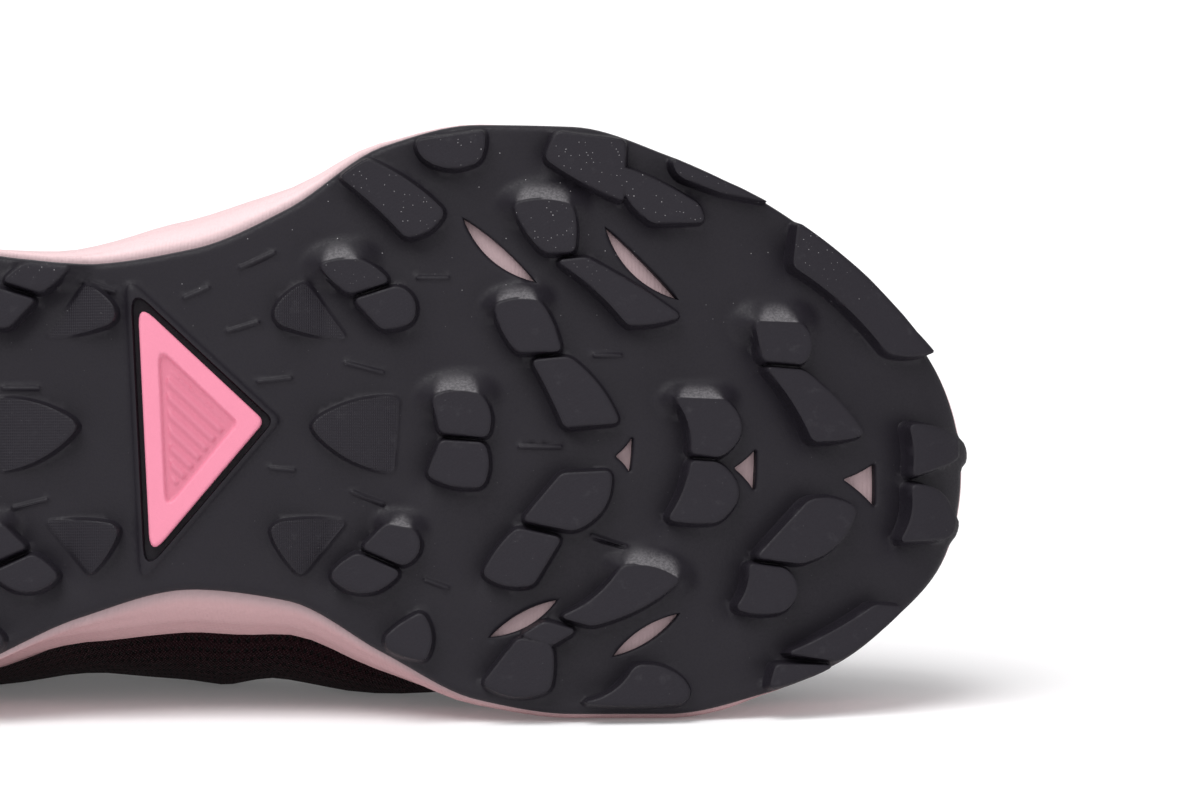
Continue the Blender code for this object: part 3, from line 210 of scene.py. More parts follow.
# Lugs of waist and forefoot: four corners in thousandths of length and ball width, how far each side
# bows in mm, the length of the ramp at the first side in mm, and how far the lug fades to its third corner
LUGS = table(
    "name x1 y1 x2 y2 x3 y3 x4 y4 bow1 bow2 bow3 bow4 ramp fade",
    ("lateral_arch", 604, -515, 620, -544, 669, -455, 645, -414, 0.0, 0.9, 1.2, -0.4, 0.5, 0.0),
    ("lateral_block", 652, -576, 694, -592, 691, -542, 659, -542, 0.0, 0.4, 1.2, 0.5, 0.5, 0.0),
    ("lateral_front_a", 740, -590, 782, -576, 781, -475, 733, -546, 0.0, 0.0, 0.5, 0.2, 0.5, 0.0),
    ("lateral_front_b", 777, -532, 828, -467, 831, -441, 800, -438, 0.7, 0.0, 0.0, 1.4, 0.5, 0.0),
    ("lateral_sliver", 812, -545, 871, -477, 843, -490, 818, -515, 0.0, 0.0, 0.0, 0.4, 0.5, 0.0),
    ("lateral_toe", 890, -440, 975, -226, 946, -222, 887, -367, 1.4, 0.7, -1.1, 0.0, 0.5, 0.0),
    ("outer_toe_a", 863, -273, 891, -271, 893, -202, 868, -207, 0.0, 1.6, 0.0, 0.0, 2.9, 0.0),
    ("outer_toe_b", 870, -194, 893, -189, 931, -84, 899, -72, 0.0, 0.7, 0.5, -0.7, 0.5, 0.0),
    ("outer_ball_a", 713, -468, 749, -468, 750, -389, 733, -387, 0.9, 0.5, 0.0, 0.7, 2.7, 0.0),
    ("outer_ball_b", 741, -372, 758, -377, 816, -280, 784, -266, 0.0, 0.4, 0.5, -0.7, 0.5, 0.0),
    ("middle_ball_a", 701, -298, 729, -305, 742, -222, 716, -219, 0.7, 0.5, 0.0, 0.7, 2.1, 0.0),
    ("middle_ball_b", 725, -204, 747, -209, 778, -101, 745, -93, 0.0, 1.1, 0.0, -0.2, 0.5, 0.0),
    ("inner_ball_a", 743, -13, 773, -17, 750, 81, 719, 64, 0.0, 2.3, 0.0, 0.0, 0.5, 0.0),
    ("inner_ball_b", 715, 79, 742, 96, 725, 172, 694, 155, 0.0, 0.0, 1.1, 0.5, 0.5, 0.0),
    ("rear_ball_a", 662, -143, 692, -147, 696, -77, 667, -84, 0.9, 1.1, 0.0, 0.0, 2.7, 0.0),
    ("rear_ball_b", 667, -69, 694, -64, 693, 7, 659, -12, 0.0, 0.9, 0.9, 0.0, 0.5, 0.0),
    ("middle_leaf", 589, -104, 640, -142, 637, -17, 589, -83, 1.2, 0.0, 1.4, 0.5, 0.5, 0.9),
    ("lateral_leaf", 564, -296, 582, -335, 607, -243, 565, -268, 0.4, 0.0, 0.5, 0.4, 0.5, 0.9),
    ("medial_leaf", 564, 71, 607, 67, 579, 157, 562, 93, 0.5, 0.0, 0.4, 0.5, 0.5, 0.9),
    ("lateral_wing_a", 591, -366, 616, -374, 634, -339, 610, -318, 0.5, 0.4, 0.0, 0.4, 2.7, 0.0),
    ("lateral_wing_b", 613, -307, 640, -329, 649, -271, 630, -259, 0.0, 1.6, 0.4, 0.0, 0.5, 0.0),
    ("medial_wing_a", 633, 71, 650, 79, 644, 140, 618, 111, 0.0, 1.8, 0.0, 0.0, 2.1, 0.0),
    ("medial_wing_b", 615, 121, 641, 153, 625, 184, 598, 158, 0.0, 0.4, 1.2, 0.4, 0.5, 0.0),
    ("medial_arch", 632, 264, 655, 221, 657, 300, 635, 283, 0.4, 1.4, 0.2, 0.0, 0.5, 0.0),
    ("medial_neck", 733, 236, 751, 251, 736, 275, 718, 259, 0.0, 0.0, 0.0, 0.0, 0.5, 0.0),
    ("medial_block", 716, 264, 736, 274, 735, 350, 694, 340, 0.0, 0.5, 1.6, 0.0, 0.5, 0.0),
    ("medial_ball_a", 780, 143, 816, 165, 761, 241, 743, 227, 1.2, 1.2, 0.0, -1.2, 2.7, 0.0),
    ("medial_ball_b", 788, 312, 820, 340, 818, 371, 757, 372, 1.4, 0.7, 0.4, -1.4, 0.5, 0.0),
    ("middle_toe_a", 813, -143, 844, -140, 841, -44, 823, -49, 0.0, 3.2, 0.0, -1.1, 2.1, 0.0),
    ("middle_toe_b", 823, -35, 840, -32, 840, 66, 809, 62, 0.0, 3.4, 0.4, -0.7, 0.5, 0.0),
    ("inner_toe_a", 896, 32, 926, 44, 891, 135, 864, 126, 1.1, 2.1, 0.0, 0.0, 0.5, 0.0),
    ("inner_toe_b", 859, 138, 882, 147, 881, 216, 851, 212, 0.0, 2.0, 0.7, -0.9, 0.5, 0.0),
    ("tip_lateral", 960, -99, 983, -86, 984, -37, 962, -12, 0.5, 1.6, 0.0, -0.5, 0.5, 0.0),
    ("tip_medial", 961, 3, 983, 40, 982, 92, 954, 98, 1.4, 0.9, 0.0, -1.1, 0.5, 0.0),
    ("medial_toe_a", 938, 207, 956, 211, 915, 300, 884, 288, 0.0, 0.5, 0.0, -0.5, 0.5, 0.0),
    ("medial_toe_b", 876, 308, 911, 311, 893, 334, 872, 347, 0.0, 0.0, 0.0, 0.0, 0.5, 0.0),
)

# The heel repeats these lugs, turned about this share of the length
MIRROR = 0.5127
TURNED = (
    "middle_leaf lateral_leaf medial_leaf lateral_wing_a lateral_wing_b medial_wing_a medial_wing_b "
    "rear_ball_a rear_ball_b medial_arch"
).split()
HEEL_PAIRS = (
    "inner_ball_a inner_ball_b medial_block medial_ball_a medial_ball_b inner_toe_a inner_toe_b tip_medial"
).split()
HEEL_SQUEEZE = 0.88
HEEL_SHIFT = 4.5

# Crescent holes: two ends in thousandths, and how far the outer and the inner side bow in mm
SLITS = table(
    "name x1 y1 x2 y2 bow1 bow2",
    ("lateral_rear", 681, -446, 726, -339, 0.7, 2.2),
    ("lateral_front", 771, -430, 816, -310, 0.3, 2.4),
    ("medial_rear", 698, 261, 740, 199, 1.1, 1.5),
    ("medial_front", 776, 293, 817, 222, 1.3, 1.2),
)

# Three-cornered holes in thousandths
HOLES = table(
    "name x1 y1 x2 y2 x3 y3",
    ("ball", 777, -44, 788, -77, 786, -17),
    ("middle", 852, -25, 866, -57, 865, 13),
    ("toe", 922, -7, 942, -34, 942, 39),
)
INSERT = table("x1 y1 x2 y2 x3 y3", (476, -303, 556, -103, 484, 126))[0]
INSERT_ROUNDING = 1.6

# Collar, throat and overlay edges in columns and rows of the upper
THROAT_TOP = 13
THROAT_END = 20
OVERLAY_FOOT = 1.18
EYELET_ROW = ROWS - 0.5
FIRST_EYELET = 13.6
LAST_EYELET = 19.8

# How far the foam's side stands in towards the tread's edge, in mm
HUGS = table(
    "share medial lateral",
    (0.00, 0.0, 0.0),
    (0.27, 0.0, 0.0),
    (0.33, 3.0, 1.2),
    (0.38, 5.2, 2.4),
    (0.42, 3.8, 2.1),
    (0.46, 1.6, 0.9),
    (0.50, 0.3, 0.0),
    (0.54, 0.2, 0.2),
    (0.60, 1.1, 1.3),
    (0.65, 1.2, 1.8),
    (0.72, 0.4, 1.5),
    (0.84, 0.2, 1.4),
    (0.92, 2.9, 2.7),
    (1.00, 3.4, 3.4),
)


def angle_of(share):
    """Share of the length as a share of a half turn, which spreads the ends."""
    return math.acos(1.0 - 2.0 * min(max(share, 0.0), 1.0)) / math.pi


def curve(rows, column):
    """Smooth function of the share through a table's column, without overshoot."""
    knots = [angle_of(row.share) for row in rows]
    values = [getattr(row, column) for row in rows]
    steps = [b - a for a, b in zip(knots, knots[1:])]
    rises = [(b - a) / step for a, b, step in zip(values, values[1:], steps)]
    slopes = [rises[0]]
    for before, after in zip(rises, rises[1:]):
        slopes.append(0.0 if before * after <= 0.0 else 2.0 * before * after / (before + after))
    slopes.append(rises[-1])

    def value(share):
        at = angle_of(share)
        i = min(max(int(np.searchsorted(knots, at)) - 1, 0), len(steps) - 1)
        t = (at - knots[i]) / steps[i]
        blend = t * t * (3.0 - 2.0 * t)
        ease = t * (1.0 - t)
        level = values[i] + (values[i + 1] - values[i]) * blend
        return level + steps[i] * ease * ((1.0 - t) * slopes[i] - t * slopes[i + 1])

    return value


def curves(rows):
    """Smooth function for each column of a table but the share."""
    return {name: curve(rows, name) for name in rows[0]._fields if name != "share"}


width = curves(OUTLINE)
side = curves(SIDES)
top = curves(TOPLINE)
bulge = curves(BULGES)
middle = curve(MIDDLES, "shift")
hug = curves(HUGS)
ring_curve = curves(SIDE_RINGS)


def station(column):
    """Station of a column: medial columns count up to the toe, lateral ones back to the heel."""
    column = column % COLUMNS
    return column if column <= STATIONS else COLUMNS - column


def side_of(column):
    return "medial" if column % COLUMNS <= STATIONS else "lateral"


def way_out(column):
    """One on the medial side, minus one on the lateral side."""
    return 1.0 if side_of(column) == "medial" else -1.0


def share_at(column):
    return 0.5 - 0.5 * math.cos(math.pi * (station(column) / STATIONS))


def outline_point(column):
    share = share_at(column)
    return Vector((LENGTH * share, way_out(column) * BALL_WIDTH * width[side_of(column)](share)))


def outward(column):
    """Direction away from the sole in plan."""
    along = outline_point(column + 1) - outline_point(column - 1)
    return Vector((-along.y, along.x)).normalized()


OUTLINE_POINTS = [outline_point(j) for j in range(COLUMNS)]


def side_value(name, column):
    """Flare and inset have a column for each side."""
    return side[name + "_" + side_of(column)](share_at(column))


def on_sole(x, y, up):
    """Point or points at heights over the web of the outsole, square to its curve."""
    share = x / LENGTH
    rise = slope = 0.0 * share
    for start, end, height in (
        (SPRING_START, 1.0, TOE_SPRING),
        (CURL_START, 1.0, TOE_CURL),
        (BEVEL_END, 0.0, HEEL_BEVEL),
    ):
        part = np.maximum((share - start) / (end - start), 0.0)
        rise = rise + height * part**2
        slope = slope + 2.0 * height * part / ((end - start) * LENGTH)
    scale = 1.0 / np.hypot(1.0, slope)
    return np.stack((x - slope * scale * up, y, LUG_HEIGHT + rise + scale * up), -1)


def floor_height(column):
    return HEEL_STACK * side["floor"](share_at(column))


def rim_height(column):
    return floor_height(column) + RIM_HEIGHT * side["rim"](share_at(column))


def feather_out(column):
    """The upper's outer face at the cup floor, as a distance outside the outline."""
    return -FEATHER_INSET * side_value("inset", column)


def rim_out(column):
    return feather_out(column) + INSTEP_HEIGHT * bulge["rim_out"](share_at(column))


def beside(column, out, height):
    """Point at a distance outside the outline and at a height."""
    point = outline_point(column) + outward(column) * out
    return Vector((point.x, point.y, height))


def chord_at(x, medial):
    """Edge of the outsole in mm from the axis, straight between the outline's points."""
    i = min(int(angle_of(x / LENGTH) * STATIONS), STATIONS - 1)
    start = OUTLINE_POINTS[i if medial else -i]
    end = OUTLINE_POINTS[i + 1 if medial else -i - 1]
    return start.y + (end.y - start.y) * (x - start.x) / (end.x - start.x)


def held_inside(point, margin):
    """Point moved across until it lies inside the outline by a margin."""
    x = min(max(point.x, LENGTH * END_MARGIN), LENGTH * (1.0 - END_MARGIN))
    return Vector((x, min(max(point.y, chord_at(x, False) + margin), chord_at(x, True) - margin)))


def sole_points(row):
    """Plan points from a row's thousandths of length and ball width."""
    count = sum(name[0] == "x" for name in row._fields)
    places = [(getattr(row, "x%d" % (n + 1)), getattr(row, "y%d" % (n + 1))) for n in range(count)]
    return [Vector((x * LENGTH / 1000.0, y * BALL_WIDTH / 1000.0)) for x, y in places]


def turned(point):
    """Point of the forefoot turned over to the heel."""
    return Vector((2.0 * MIRROR * LENGTH - point.x, point.y))


def heel_point(point, mirror):
    moved = turned(point)
    return Vector((moved.x, mirror * (moved.y * HEEL_SQUEEZE + HEEL_SHIFT)))


def top_point(column):
    share = share_at(column)
    along = LENGTH * top["along"](share)
    across = BALL_WIDTH * (middle(along / LENGTH) + top["half"](share) * way_out(column))
    return Vector((along, across, INSTEP_HEIGHT * top["height"](share)))


# Places of the record's two flat spots in plan
FORE_MARK = Vector((192.6, -3.6))
HEEL_MARK = Vector((44.0, 21.0))


def shoe_matrix():
    """The shoe's own axes in the row frame, from the two flat places of its tread."""
    mounts = {mount["name"]: mount for mount in frame["record"]["mounts"]}
    fore = Vector(mounts["forefoot_tread"]["pos_m"])
    heel = Vector(mounts["heel_tread"]["pos_m"])
    up = -Vector(mounts["forefoot_tread"]["axis"]).normalized()
    along = (fore - heel).normalized()
    along = (along - up * along.dot(up)).normalized()
    turn = math.atan2(FORE_MARK.y - HEEL_MARK.y, FORE_MARK.x - HEEL_MARK.x)
    x = along * math.cos(turn) - up.cross(along) * math.sin(turn)
    y = up.cross(x)
    matrix = Matrix((x, y, up)).transposed().to_4x4()
    matrix.translation = fore - (x * FORE_MARK.x + y * FORE_MARK.y) * MM
    return matrix


SHOE = shoe_matrix()


def as_list(value):
    return value if isinstance(value, list) else [value]


def piece(
    name, points, faces, finishes, replaced=None, fields=None, sharp=38.0, marks=None, merge=False
):
    """Piece of the shoe from points in its own millimetres; marks name each face's finish."""
    points = np.array([point[:] for point in points], float)
    world = points * MM @ np.array(SHOE.to_3x3()).T + np.array(SHOE.translation)
    mesh = bpy.data.meshes.new(name)
    mesh.from_pydata(world.tolist(), [], faces)
    mesh.polygons.foreach_set("material_index", marks or [0] * len(faces))
    for key, values in {"place": points, **(fields or {})}.items():
        values = np.asarray(values, np.float32)
        kind, part = ("FLOAT", "value") if values.ndim == 1 else ("FLOAT_VECTOR", "vector")
        mesh.attributes.new(key, kind, "POINT").data.foreach_set(part, values.ravel())
    for finish in as_list(finishes):
        mesh.materials.append(finish)
    shape = bmesh.new()
    shape.from_mesh(mesh)
    if merge:
        bmesh.ops.remove_doubles(shape, verts=shape.verts[:], dist=1e-6)
    bmesh.ops.recalc_face_normals(shape, faces=shape.faces[:])
    shape.to_mesh(mesh)
    shape.free()
    mesh.shade_smooth()
    mesh.set_sharp_from_angle(angle=math.radians(sharp))
    body = linked(name, mesh)
    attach(body, "root")
    if replaced:
        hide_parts(replaced)
    return body


def linked(name, data):
    body = bpy.data.objects.new(name, data)
    bpy.context.scene.collection.objects.link(body)
    return body


def unit(vectors):
    """Rows of length one."""
    return vectors / np.maximum(np.linalg.norm(vectors, axis=-1), 1e-9)[..., None]


def walked(line):
    """Length of a line up to each of its points."""
    return np.concatenate(((0.0,), np.cumsum(np.linalg.norm(np.diff(line, axis=0), axis=1))))


# Flat outlines as arrays
def counter_clockwise(outline):
    after = np.roll(outline, -1, 0)
    return float((outline[:, 0] * after[:, 1] - after[:, 0] * outline[:, 1]).sum()) > 0.0


def distances(points, outline, scale=None):
    """Distance of each point to each side of an outline, and whether it lies inside."""
    run = np.roll(outline, -1, 0) - outline
    gap = points[:, None] - outline[None]
    runs = np.broadcast_to(run, gap.shape)
    if scale is not None:
        gap = gap * scale[:, None]
        runs = runs * scale[:, None]
    t = np.clip((gap * runs).sum(2) / np.maximum((runs**2).sum(2), 1e-12), 0.0, 1.0)
    left = gap - t[..., None] * runs
    away = np.hypot(left[..., 0], left[..., 1])
    x = points[:, None, 0]
    y = points[:, None, 1]
    after = np.roll(outline, -1, 0)
    spans = (outline[:, 1] > y) != (after[:, 1] > y)
    cut = outline[:, 0] + (y - outline[:, 1]) * run[:, 0] / np.where(run[:, 1] == 0.0, 1e-9, run[:, 1])
    inside = (spans & (x < cut)).sum(1) % 2 == 1
    return away, inside


def reach(points, outline, scale=None):
    """Least distance to an outline and whether a point is inside, worked out in batches."""
    near = np.empty(len(points))
    inside = np.empty(len(points), bool)
    for start in range(0, len(points), 3000):
        part = slice(start, start + 3000)
        away, inside[part] = distances(points[part], outline, None if scale is None else scale[part])
        near[part] = away.min(1)
    return near, inside


def signed_reach(points, outline):
    """Distance to an outline, less than nothing inside."""
    near, inside = reach(points, outline)
    return np.where(inside, -near, near)


def moved_out(outline, distance):
    """Outline moved out by a distance."""
    if not counter_clockwise(outline):
        outline = outline[::-1]
    before = outline - np.roll(outline, 1, 0)
    after = np.roll(outline, -1, 0) - outline
    first = unit(np.stack((before[:, 1], -before[:, 0]), 1))
    out = unit(first + unit(np.stack((after[:, 1], -after[:, 0]), 1)))
    lean = np.maximum((out * first).sum(1), 0.6)
    return outline + out * (distance / lean)[:, None]


def mesh_between(loops, free, border, holes):
    """Triangles over loops and free points, inside a border and outside its holes."""
    points = []
    edges = []
    for loop in loops:
        start = len(points)
        count = len(loop)
        points += [Vector((float(x), float(y))) for x, y in loop]
        edges += [(start + i, start + (i + 1) % count) for i in range(count)]
    points += [Vector((float(x), float(y))) for x, y in free]
    verts, _, triangles, _, _, _ = delaunay_2d_cdt(points, edges, [], 0, 1e-4)
    verts = np.array([vert[:] for vert in verts])
    triangles = np.array([list(t) for t in triangles])
    centres = verts[triangles].mean(1)
    keep = reach(centres, border)[1]
    for hole in holes:
        keep &= ~reach(centres, hole)[1]
    return verts, triangles[keep]


def open_edges(triangles):
    """Edges used once, in the direction of their triangle."""
    used = set()
    for a, b, c in triangles.tolist():
        used.update(((a, b), (b, c), (c, a)))
    return [(a, b) for a, b in used if (b, a) not in used]


def scattered(loops, pitch, least):
    """Points of a regular staggered grid that keep a distance from all loops."""
    used = np.concatenate(loops)
    tree = KDTree(len(used))
    for i, (x, y) in enumerate(used):
        tree.insert((x, y, 0.0), i)
    tree.balance()
    low = used.min(0)
    high = used.max(0)
    points = []
    for k, y in enumerate(np.arange(low[1], high[1], pitch * 0.866)):
        xs = np.arange(low[0] + (k % 2) * pitch * 0.5, high[0], pitch)
        points.append(np.stack((xs, np.full(len(xs), y)), 1))
    points = np.concatenate(points)
    return points[[tree.find((x, y, 0.0))[2] > least for x, y in points]]


def curl(distance, radius):
    """How far a rounded edge has dropped at a distance from it."""
    inner = np.clip(radius - distance, 0.0, radius)
    return radius - np.sqrt(radius**2 - inner**2)


def bell(distance, size, power=2.0):
    """One in the middle, falling off to nothing."""
    return np.exp(-(np.abs(distance / size) ** power))


def eased(share):
    share = np.clip(share, 0.0, 1.0)
    return share * share * (3.0 - 2.0 * share)


# Tread, in mm: a lug's wall and rounded edge, the worn hollow behind it and the ridge before it
FINE = 8
WALL_FOOT = 0.75
EDGE_DROP = 0.055
EDGE_ROUND = 0.4
EDGE_MARGIN = 0.3
LUG_SWELL = 0.2
SCOOP = 1.1
SCOOP_REACH = 3.4
RIDGE = 0.45
RIDGE_REACH = 3.6
LUG_REACH = 9.0
RAMP_RUN = 1.5
RAMP_POWER = 1.15
WALL_POWER = 1.7
WELL_FLOOR = 1.2
TREAD_PITCH = 1.1
TREAD_CLEAR = 0.42
OUTLINE_ROUND = 1.3
HOLE_ROUND = 0.75
HIDDEN_OVERLAP = 0.3
Block = namedtuple("Block", "outline width power owner rear front fade")


def bowed(start, end, bow, t):
    """Line that bows to the right of its way by a distance."""
    along = end - start
    across = np.array((along[1], -along[0])) / np.linalg.norm(along)
    return start + np.outer(t, along) + np.outer(4.0 * t * (1.0 - t) * bow, across)


def fine_outline(corners, bows, radius=1.0, pitch=1.3):
    """Outline with bowed sides and round corners, and the side on which each piece of it lies."""
    corners = [np.array(corner[:2], float) for corner in corners]
    centre = sum(corners) / len(corners)
    sides = []
    for i, (start, bow) in enumerate(zip(corners, bows)):
        end = corners[(i + 1) % len(corners)]
        length = np.linalg.norm(end - start)
        right = np.array((end[1] - start[1], start[0] - end[0]))
        inset = min(radius, 0.4 * length) / length
        t = np.linspace(inset, 1.0 - inset, max(3, int(length / pitch)) + 1)
        sides.append(bowed(start, end, bow if right @ ((start + end) / 2.0 - centre) >= 0.0 else -bow, t))
    points = []
    owner = []
    for i, line in enumerate(sides):
        before = sides[i - 1][-1]
        for t in (0.25, 0.5, 0.75):
            points.append((1.0 - t) ** 2 * before + 2.0 * t * (1.0 - t) * corners[i] + t * t * line[0])
            owner.append((i - 1) % len(corners) if t < 0.5 else i)
        points += list(line)
        owner += [i] * len(line)
    return np.array(points), np.array(owner)


def block(corners, lug):
    outline, owner = fine_outline(corners, (lug.bow1, lug.bow2, lug.bow3, lug.bow4))
    if counter_clockwise(outline):
        outline = moved_out(outline, LUG_SWELL)
    outline = np.array([held_inside(Vector(point), EDGE_MARGIN)[:] for point in outline])
    sloped = (owner == 0) & (lug.ramp > 1.0)
    width = np.where(sloped, lug.ramp * RAMP_RUN, WALL_FOOT)
    power = np.where(sloped, RAMP_POWER, WALL_POWER)
    values = [width, power, owner]
    if not counter_clockwise(outline):
        outline = outline[::-1].copy()
        values = [np.roll(value[::-1], -1) for value in values]
    rear = np.array(((corners[0] + corners[3]) / 2.0)[:])
    front = np.array(((corners[1] + corners[2]) / 2.0)[:])
    return Block(outline, *values, rear, front, lug.fade)


def tread_blocks():
    named = {lug.name: lug for lug in LUGS}
    blocks = [block(sole_points(lug), lug) for lug in LUGS]
    for name in TURNED:
        blocks.append(block([turned(point) for point in sole_points(named[name])], named[name]))
    for name in HEEL_PAIRS:
        for mirror in (1.0, -1.0):
            corners = [heel_point(point, mirror) for point in sole_points(named[name])]
            blocks.append(block(corners, named[name]))
    return blocks


# Thin raised dashes of the waist and ball: two ends in mm
DASHES = table(
    "x1 y1 x2 y2",
    (125.4, -35.9, 130.9, -34.1),
    (143.6, -33.0, 147.7, -34.8),
    (153.6, -38.4, 159.5, -41.1),
    (151.3, -27.0, 156.6, -28.6),
    (156.8, -18.0, 162.5, -18.6),
    (111.2, -16.8, 117.4, -16.8),
    (159.0, -2.5, 163.1, -2.1),
    (113.0, 4.6, 118.9, 3.2),
    (172.4, -21.3, 179.0, -19.6),
    (173.6, 1.8, 179.0, 3.8),
    (185.4, -36.6, 190.6, -36.6),
    (186.7, 17.5, 190.6, 18.9),
    (203.6, -6.3, 210.8, -6.3),
    (217.0, -22.7, 221.5, -22.7),
    (216.5, 9.6, 222.4, 11.4),
    (98.0, -27.0, 103.5, -28.6),
    (100.0, 17.5, 104.5, 16.0),
    (92.0, -2.5, 97.0, -2.1),
    (80.0, 26.0, 85.0, 27.5),
    (76.0, -31.0, 81.5, -32.0),
)
DASH_WIDTH = 0.95
DASH_HEIGHT = 0.5

# Lugs that stand out over the toe's edge: middle and half width along the edge, and reach in mm
TIPS = table("middle half reach", (-5.9, 2.9, 1.4), (8.2, 2.3, 0.9))
TIPS_START = 0.94


def capsule(dash, radius, steps=5):
    """Outline at a distance round a dash."""
    start = np.array((dash.x1, dash.y1))
    end = np.array((dash.x2, dash.y2))
    heading = math.atan2(end[1] - start[1], end[0] - start[0])
    points = []
    for centre, first in ((end, heading - math.pi / 2.0), (start, heading + math.pi / 2.0)):
        for k in range(steps + 1):
            turn = first + math.pi * k / steps
            points.append(centre + radius * np.array((math.cos(turn), math.sin(turn))))
    return np.array(points)


def sole_outline():
    """Outline of the outsole, with the toe's lugs standing out a little."""
    points = []
    for k in range(COLUMNS * FINE):
        x, y = outline_point(k / FINE)
        if x > TIPS_START * LENGTH:
            x += sum(tip.reach * max(0.0, 1.0 - ((y - tip.middle) / tip.half) ** 2) ** 0.5 for tip in TIPS)
        points.append((x, y))
    return np.array(points)


def fine_slit(slit):
    """Crescent hole; those of the lateral side bulge to the heel."""
    start, end = [np.array(point[:]) for point in sole_points(slit)]
    rear, front = (-slit.bow2, slit.bow1) if slit.y1 < 0.0 else (slit.bow1, -slit.bow2)
    t = np.linspace(0.0, 1.0, 15)
    return np.concatenate((bowed(start, end, rear, t), bowed(start, end, front, t[::-1][1:-1])))


# The insert's sharp corners move no further than this many times the inset
CORNER_REACH = 2.5
CORNER_STEPS = 6


def corner_ways(corners, i):
    """Directions from a corner to the ones before and after it."""
    before = (corners[i - 1] - corners[i]).normalized()
    return before, (corners[(i + 1) % len(corners)] - corners[i]).normalized()


def insert_outline(inset):
    """Rounded outline of the insert, moved in."""
    corners = sole_points(INSERT)
    moved = []
    for i, corner in enumerate(corners):
        before, after = corner_ways(corners, i)
        far = min(1.0 / math.sin(before.angle(after) / 2.0), CORNER_REACH)
        moved.append(corner + (before + after).normalized() * inset * far)
    outline = []
    for i, corner in enumerate(moved):
        before, after = corner_ways(moved, i)
        away = INSERT_ROUNDING / math.tan(before.angle(after) / 2.0)
        for k in range(CORNER_STEPS + 1):
            t = k / CORNER_STEPS
            start = (corner + before * away).lerp(corner, t)
            outline.append(start.lerp(corner.lerp(corner + after * away, t), t))
    dense = []
    for a, b in zip(outline, outline[1:] + outline[:1]):
        count = max(1, int((b - a).length))
        dense += [a.lerp(b, k / count)[:] for k in range(count)]
    return np.array(dense)


def sole_sheet(name, verts, triangles, up, finish, replaced, fields):
    """Sheet at heights over the web, with a skirt down to the base."""
    edges = open_edges(triangles)
    rim = sorted({i for pair in edges for i in pair})
    deep = {i: len(verts) + k for k, i in enumerate(rim)}
    faces = triangles.tolist() + [[a, b, deep[b], deep[a]] for a, b in edges]
    spread = np.concatenate((np.arange(len(verts)), rim)).astype(int)
    heights = np.concatenate((up, np.full(len(rim), TREAD_BASE + HIDDEN_OVERLAP)))
    used = sorted({i for face in faces for i in face})
    place = {old: new for new, old in enumerate(used)}
    faces = [[place[i] for i in face] for face in faces]
    points = on_sole(verts[spread, 0], verts[spread, 1], heights)[used]
    fields = {key: values[spread][used] for key, values in fields.items()}
    return piece(name, points, faces, finish, replaced, fields, 50.0)


# Distances in mm from each edge at which the tread's mesh has a line, and shares of a dash's width
OUTLINE_LINES = (-0.15, -0.4, -0.8, -OUTLINE_ROUND)
HOLE_LINES = (0.12, 0.35, HOLE_ROUND)
LIP_LINES = (0.0, 0.35, -0.35)
LUG_LINES = (-EDGE_ROUND, -0.3, 0.0, 0.28, 0.62, WALL_FOOT)
DASH_LINES = (0.12, 0.4, 0.7)
WELL_WALL = 0.3


def tread_loops(outline, well, lip, holes, blocks):
    """Lines that the tread's mesh follows."""
    loops = [outline, well, moved_out(well, WELL_WALL)] + holes
    loops += [moved_out(outline, away) for away in OUTLINE_LINES]
    for hole in holes:
        loops += [moved_out(hole, away) for away in HOLE_LINES]
    loops += [moved_out(lip, away) for away in LIP_LINES]
    for each in blocks:
        loops += [moved_out(each.outline, away) for away in LUG_LINES]
    for dash in DASHES:
        loops += [capsule(dash, DASH_WIDTH * share) for share in DASH_LINES]
    return loops


def tread_fields(verts, blocks):
    """Height of the lugs, hollows and ridges round them, and marks of tops, leaves and lit slopes, the ramps
    where a highlight is painted.
    """
    fields = {name: np.zeros(len(verts)) for name in ("level", "scoop", "ridge", "tops", "leaf", "slope")}

    def raise_to(name, near, values):
        fields[name][near] = np.maximum(fields[name][near], values)

    for each in blocks:
        low = each.outline.min(0) - LUG_REACH
        high = each.outline.max(0) + LUG_REACH
        near = np.flatnonzero(((verts > low) & (verts < high)).all(1))
        points = verts[near]
        away, inside = distances(points, each.outline)
        edge = away.min(1)
        out = (np.clip(1.0 - away / each.width, 0.0, 1.0) ** each.power).max(1)
        rounding = EDGE_DROP * np.clip(1.0 - edge / EDGE_ROUND, 0.0, 1.0) ** 2
        along = each.front - each.rear
        t = np.clip(((points - each.rear) @ along) / (along @ along), 0.0, 1.0)
        rise = np.where(inside, 1.0 - rounding, (1.0 - EDGE_DROP) * out)
        raise_to("level", near, rise * LUG_HEIGHT * (1.0 - each.fade * t))
        raise_to("tops", near, inside * np.clip(edge / 0.8, 0.0, 1.0))
        if each.fade:
            raise_to("leaf", near, inside * 1.0)
        # The ramps' mark sets where the tread's colour gets a painted highlight, standing in for the light
        # they catch.
        if each.power.min() == RAMP_POWER:
            ramp = away[:, each.power == RAMP_POWER].min(1)
            lit = np.clip(1.0 - ramp / each.width.max(), 0.0, 1.0)
            lit *= np.clip((away[:, each.power == WALL_POWER].min(1) - ramp) / 1.3, 0.0, 1.0)
            raise_to("slope", near, ~inside * lit)
        strength = ~inside * (0.3 if each.fade else 1.0)
        raise_to("scoop", near, strength * bell(away[:, each.owner == 3].min(1), SCOOP_REACH, 1.5))
        raise_to("ridge", near, strength * bell(away[:, each.owner == 1].min(1), RIDGE_REACH, 1.5))
    return fields


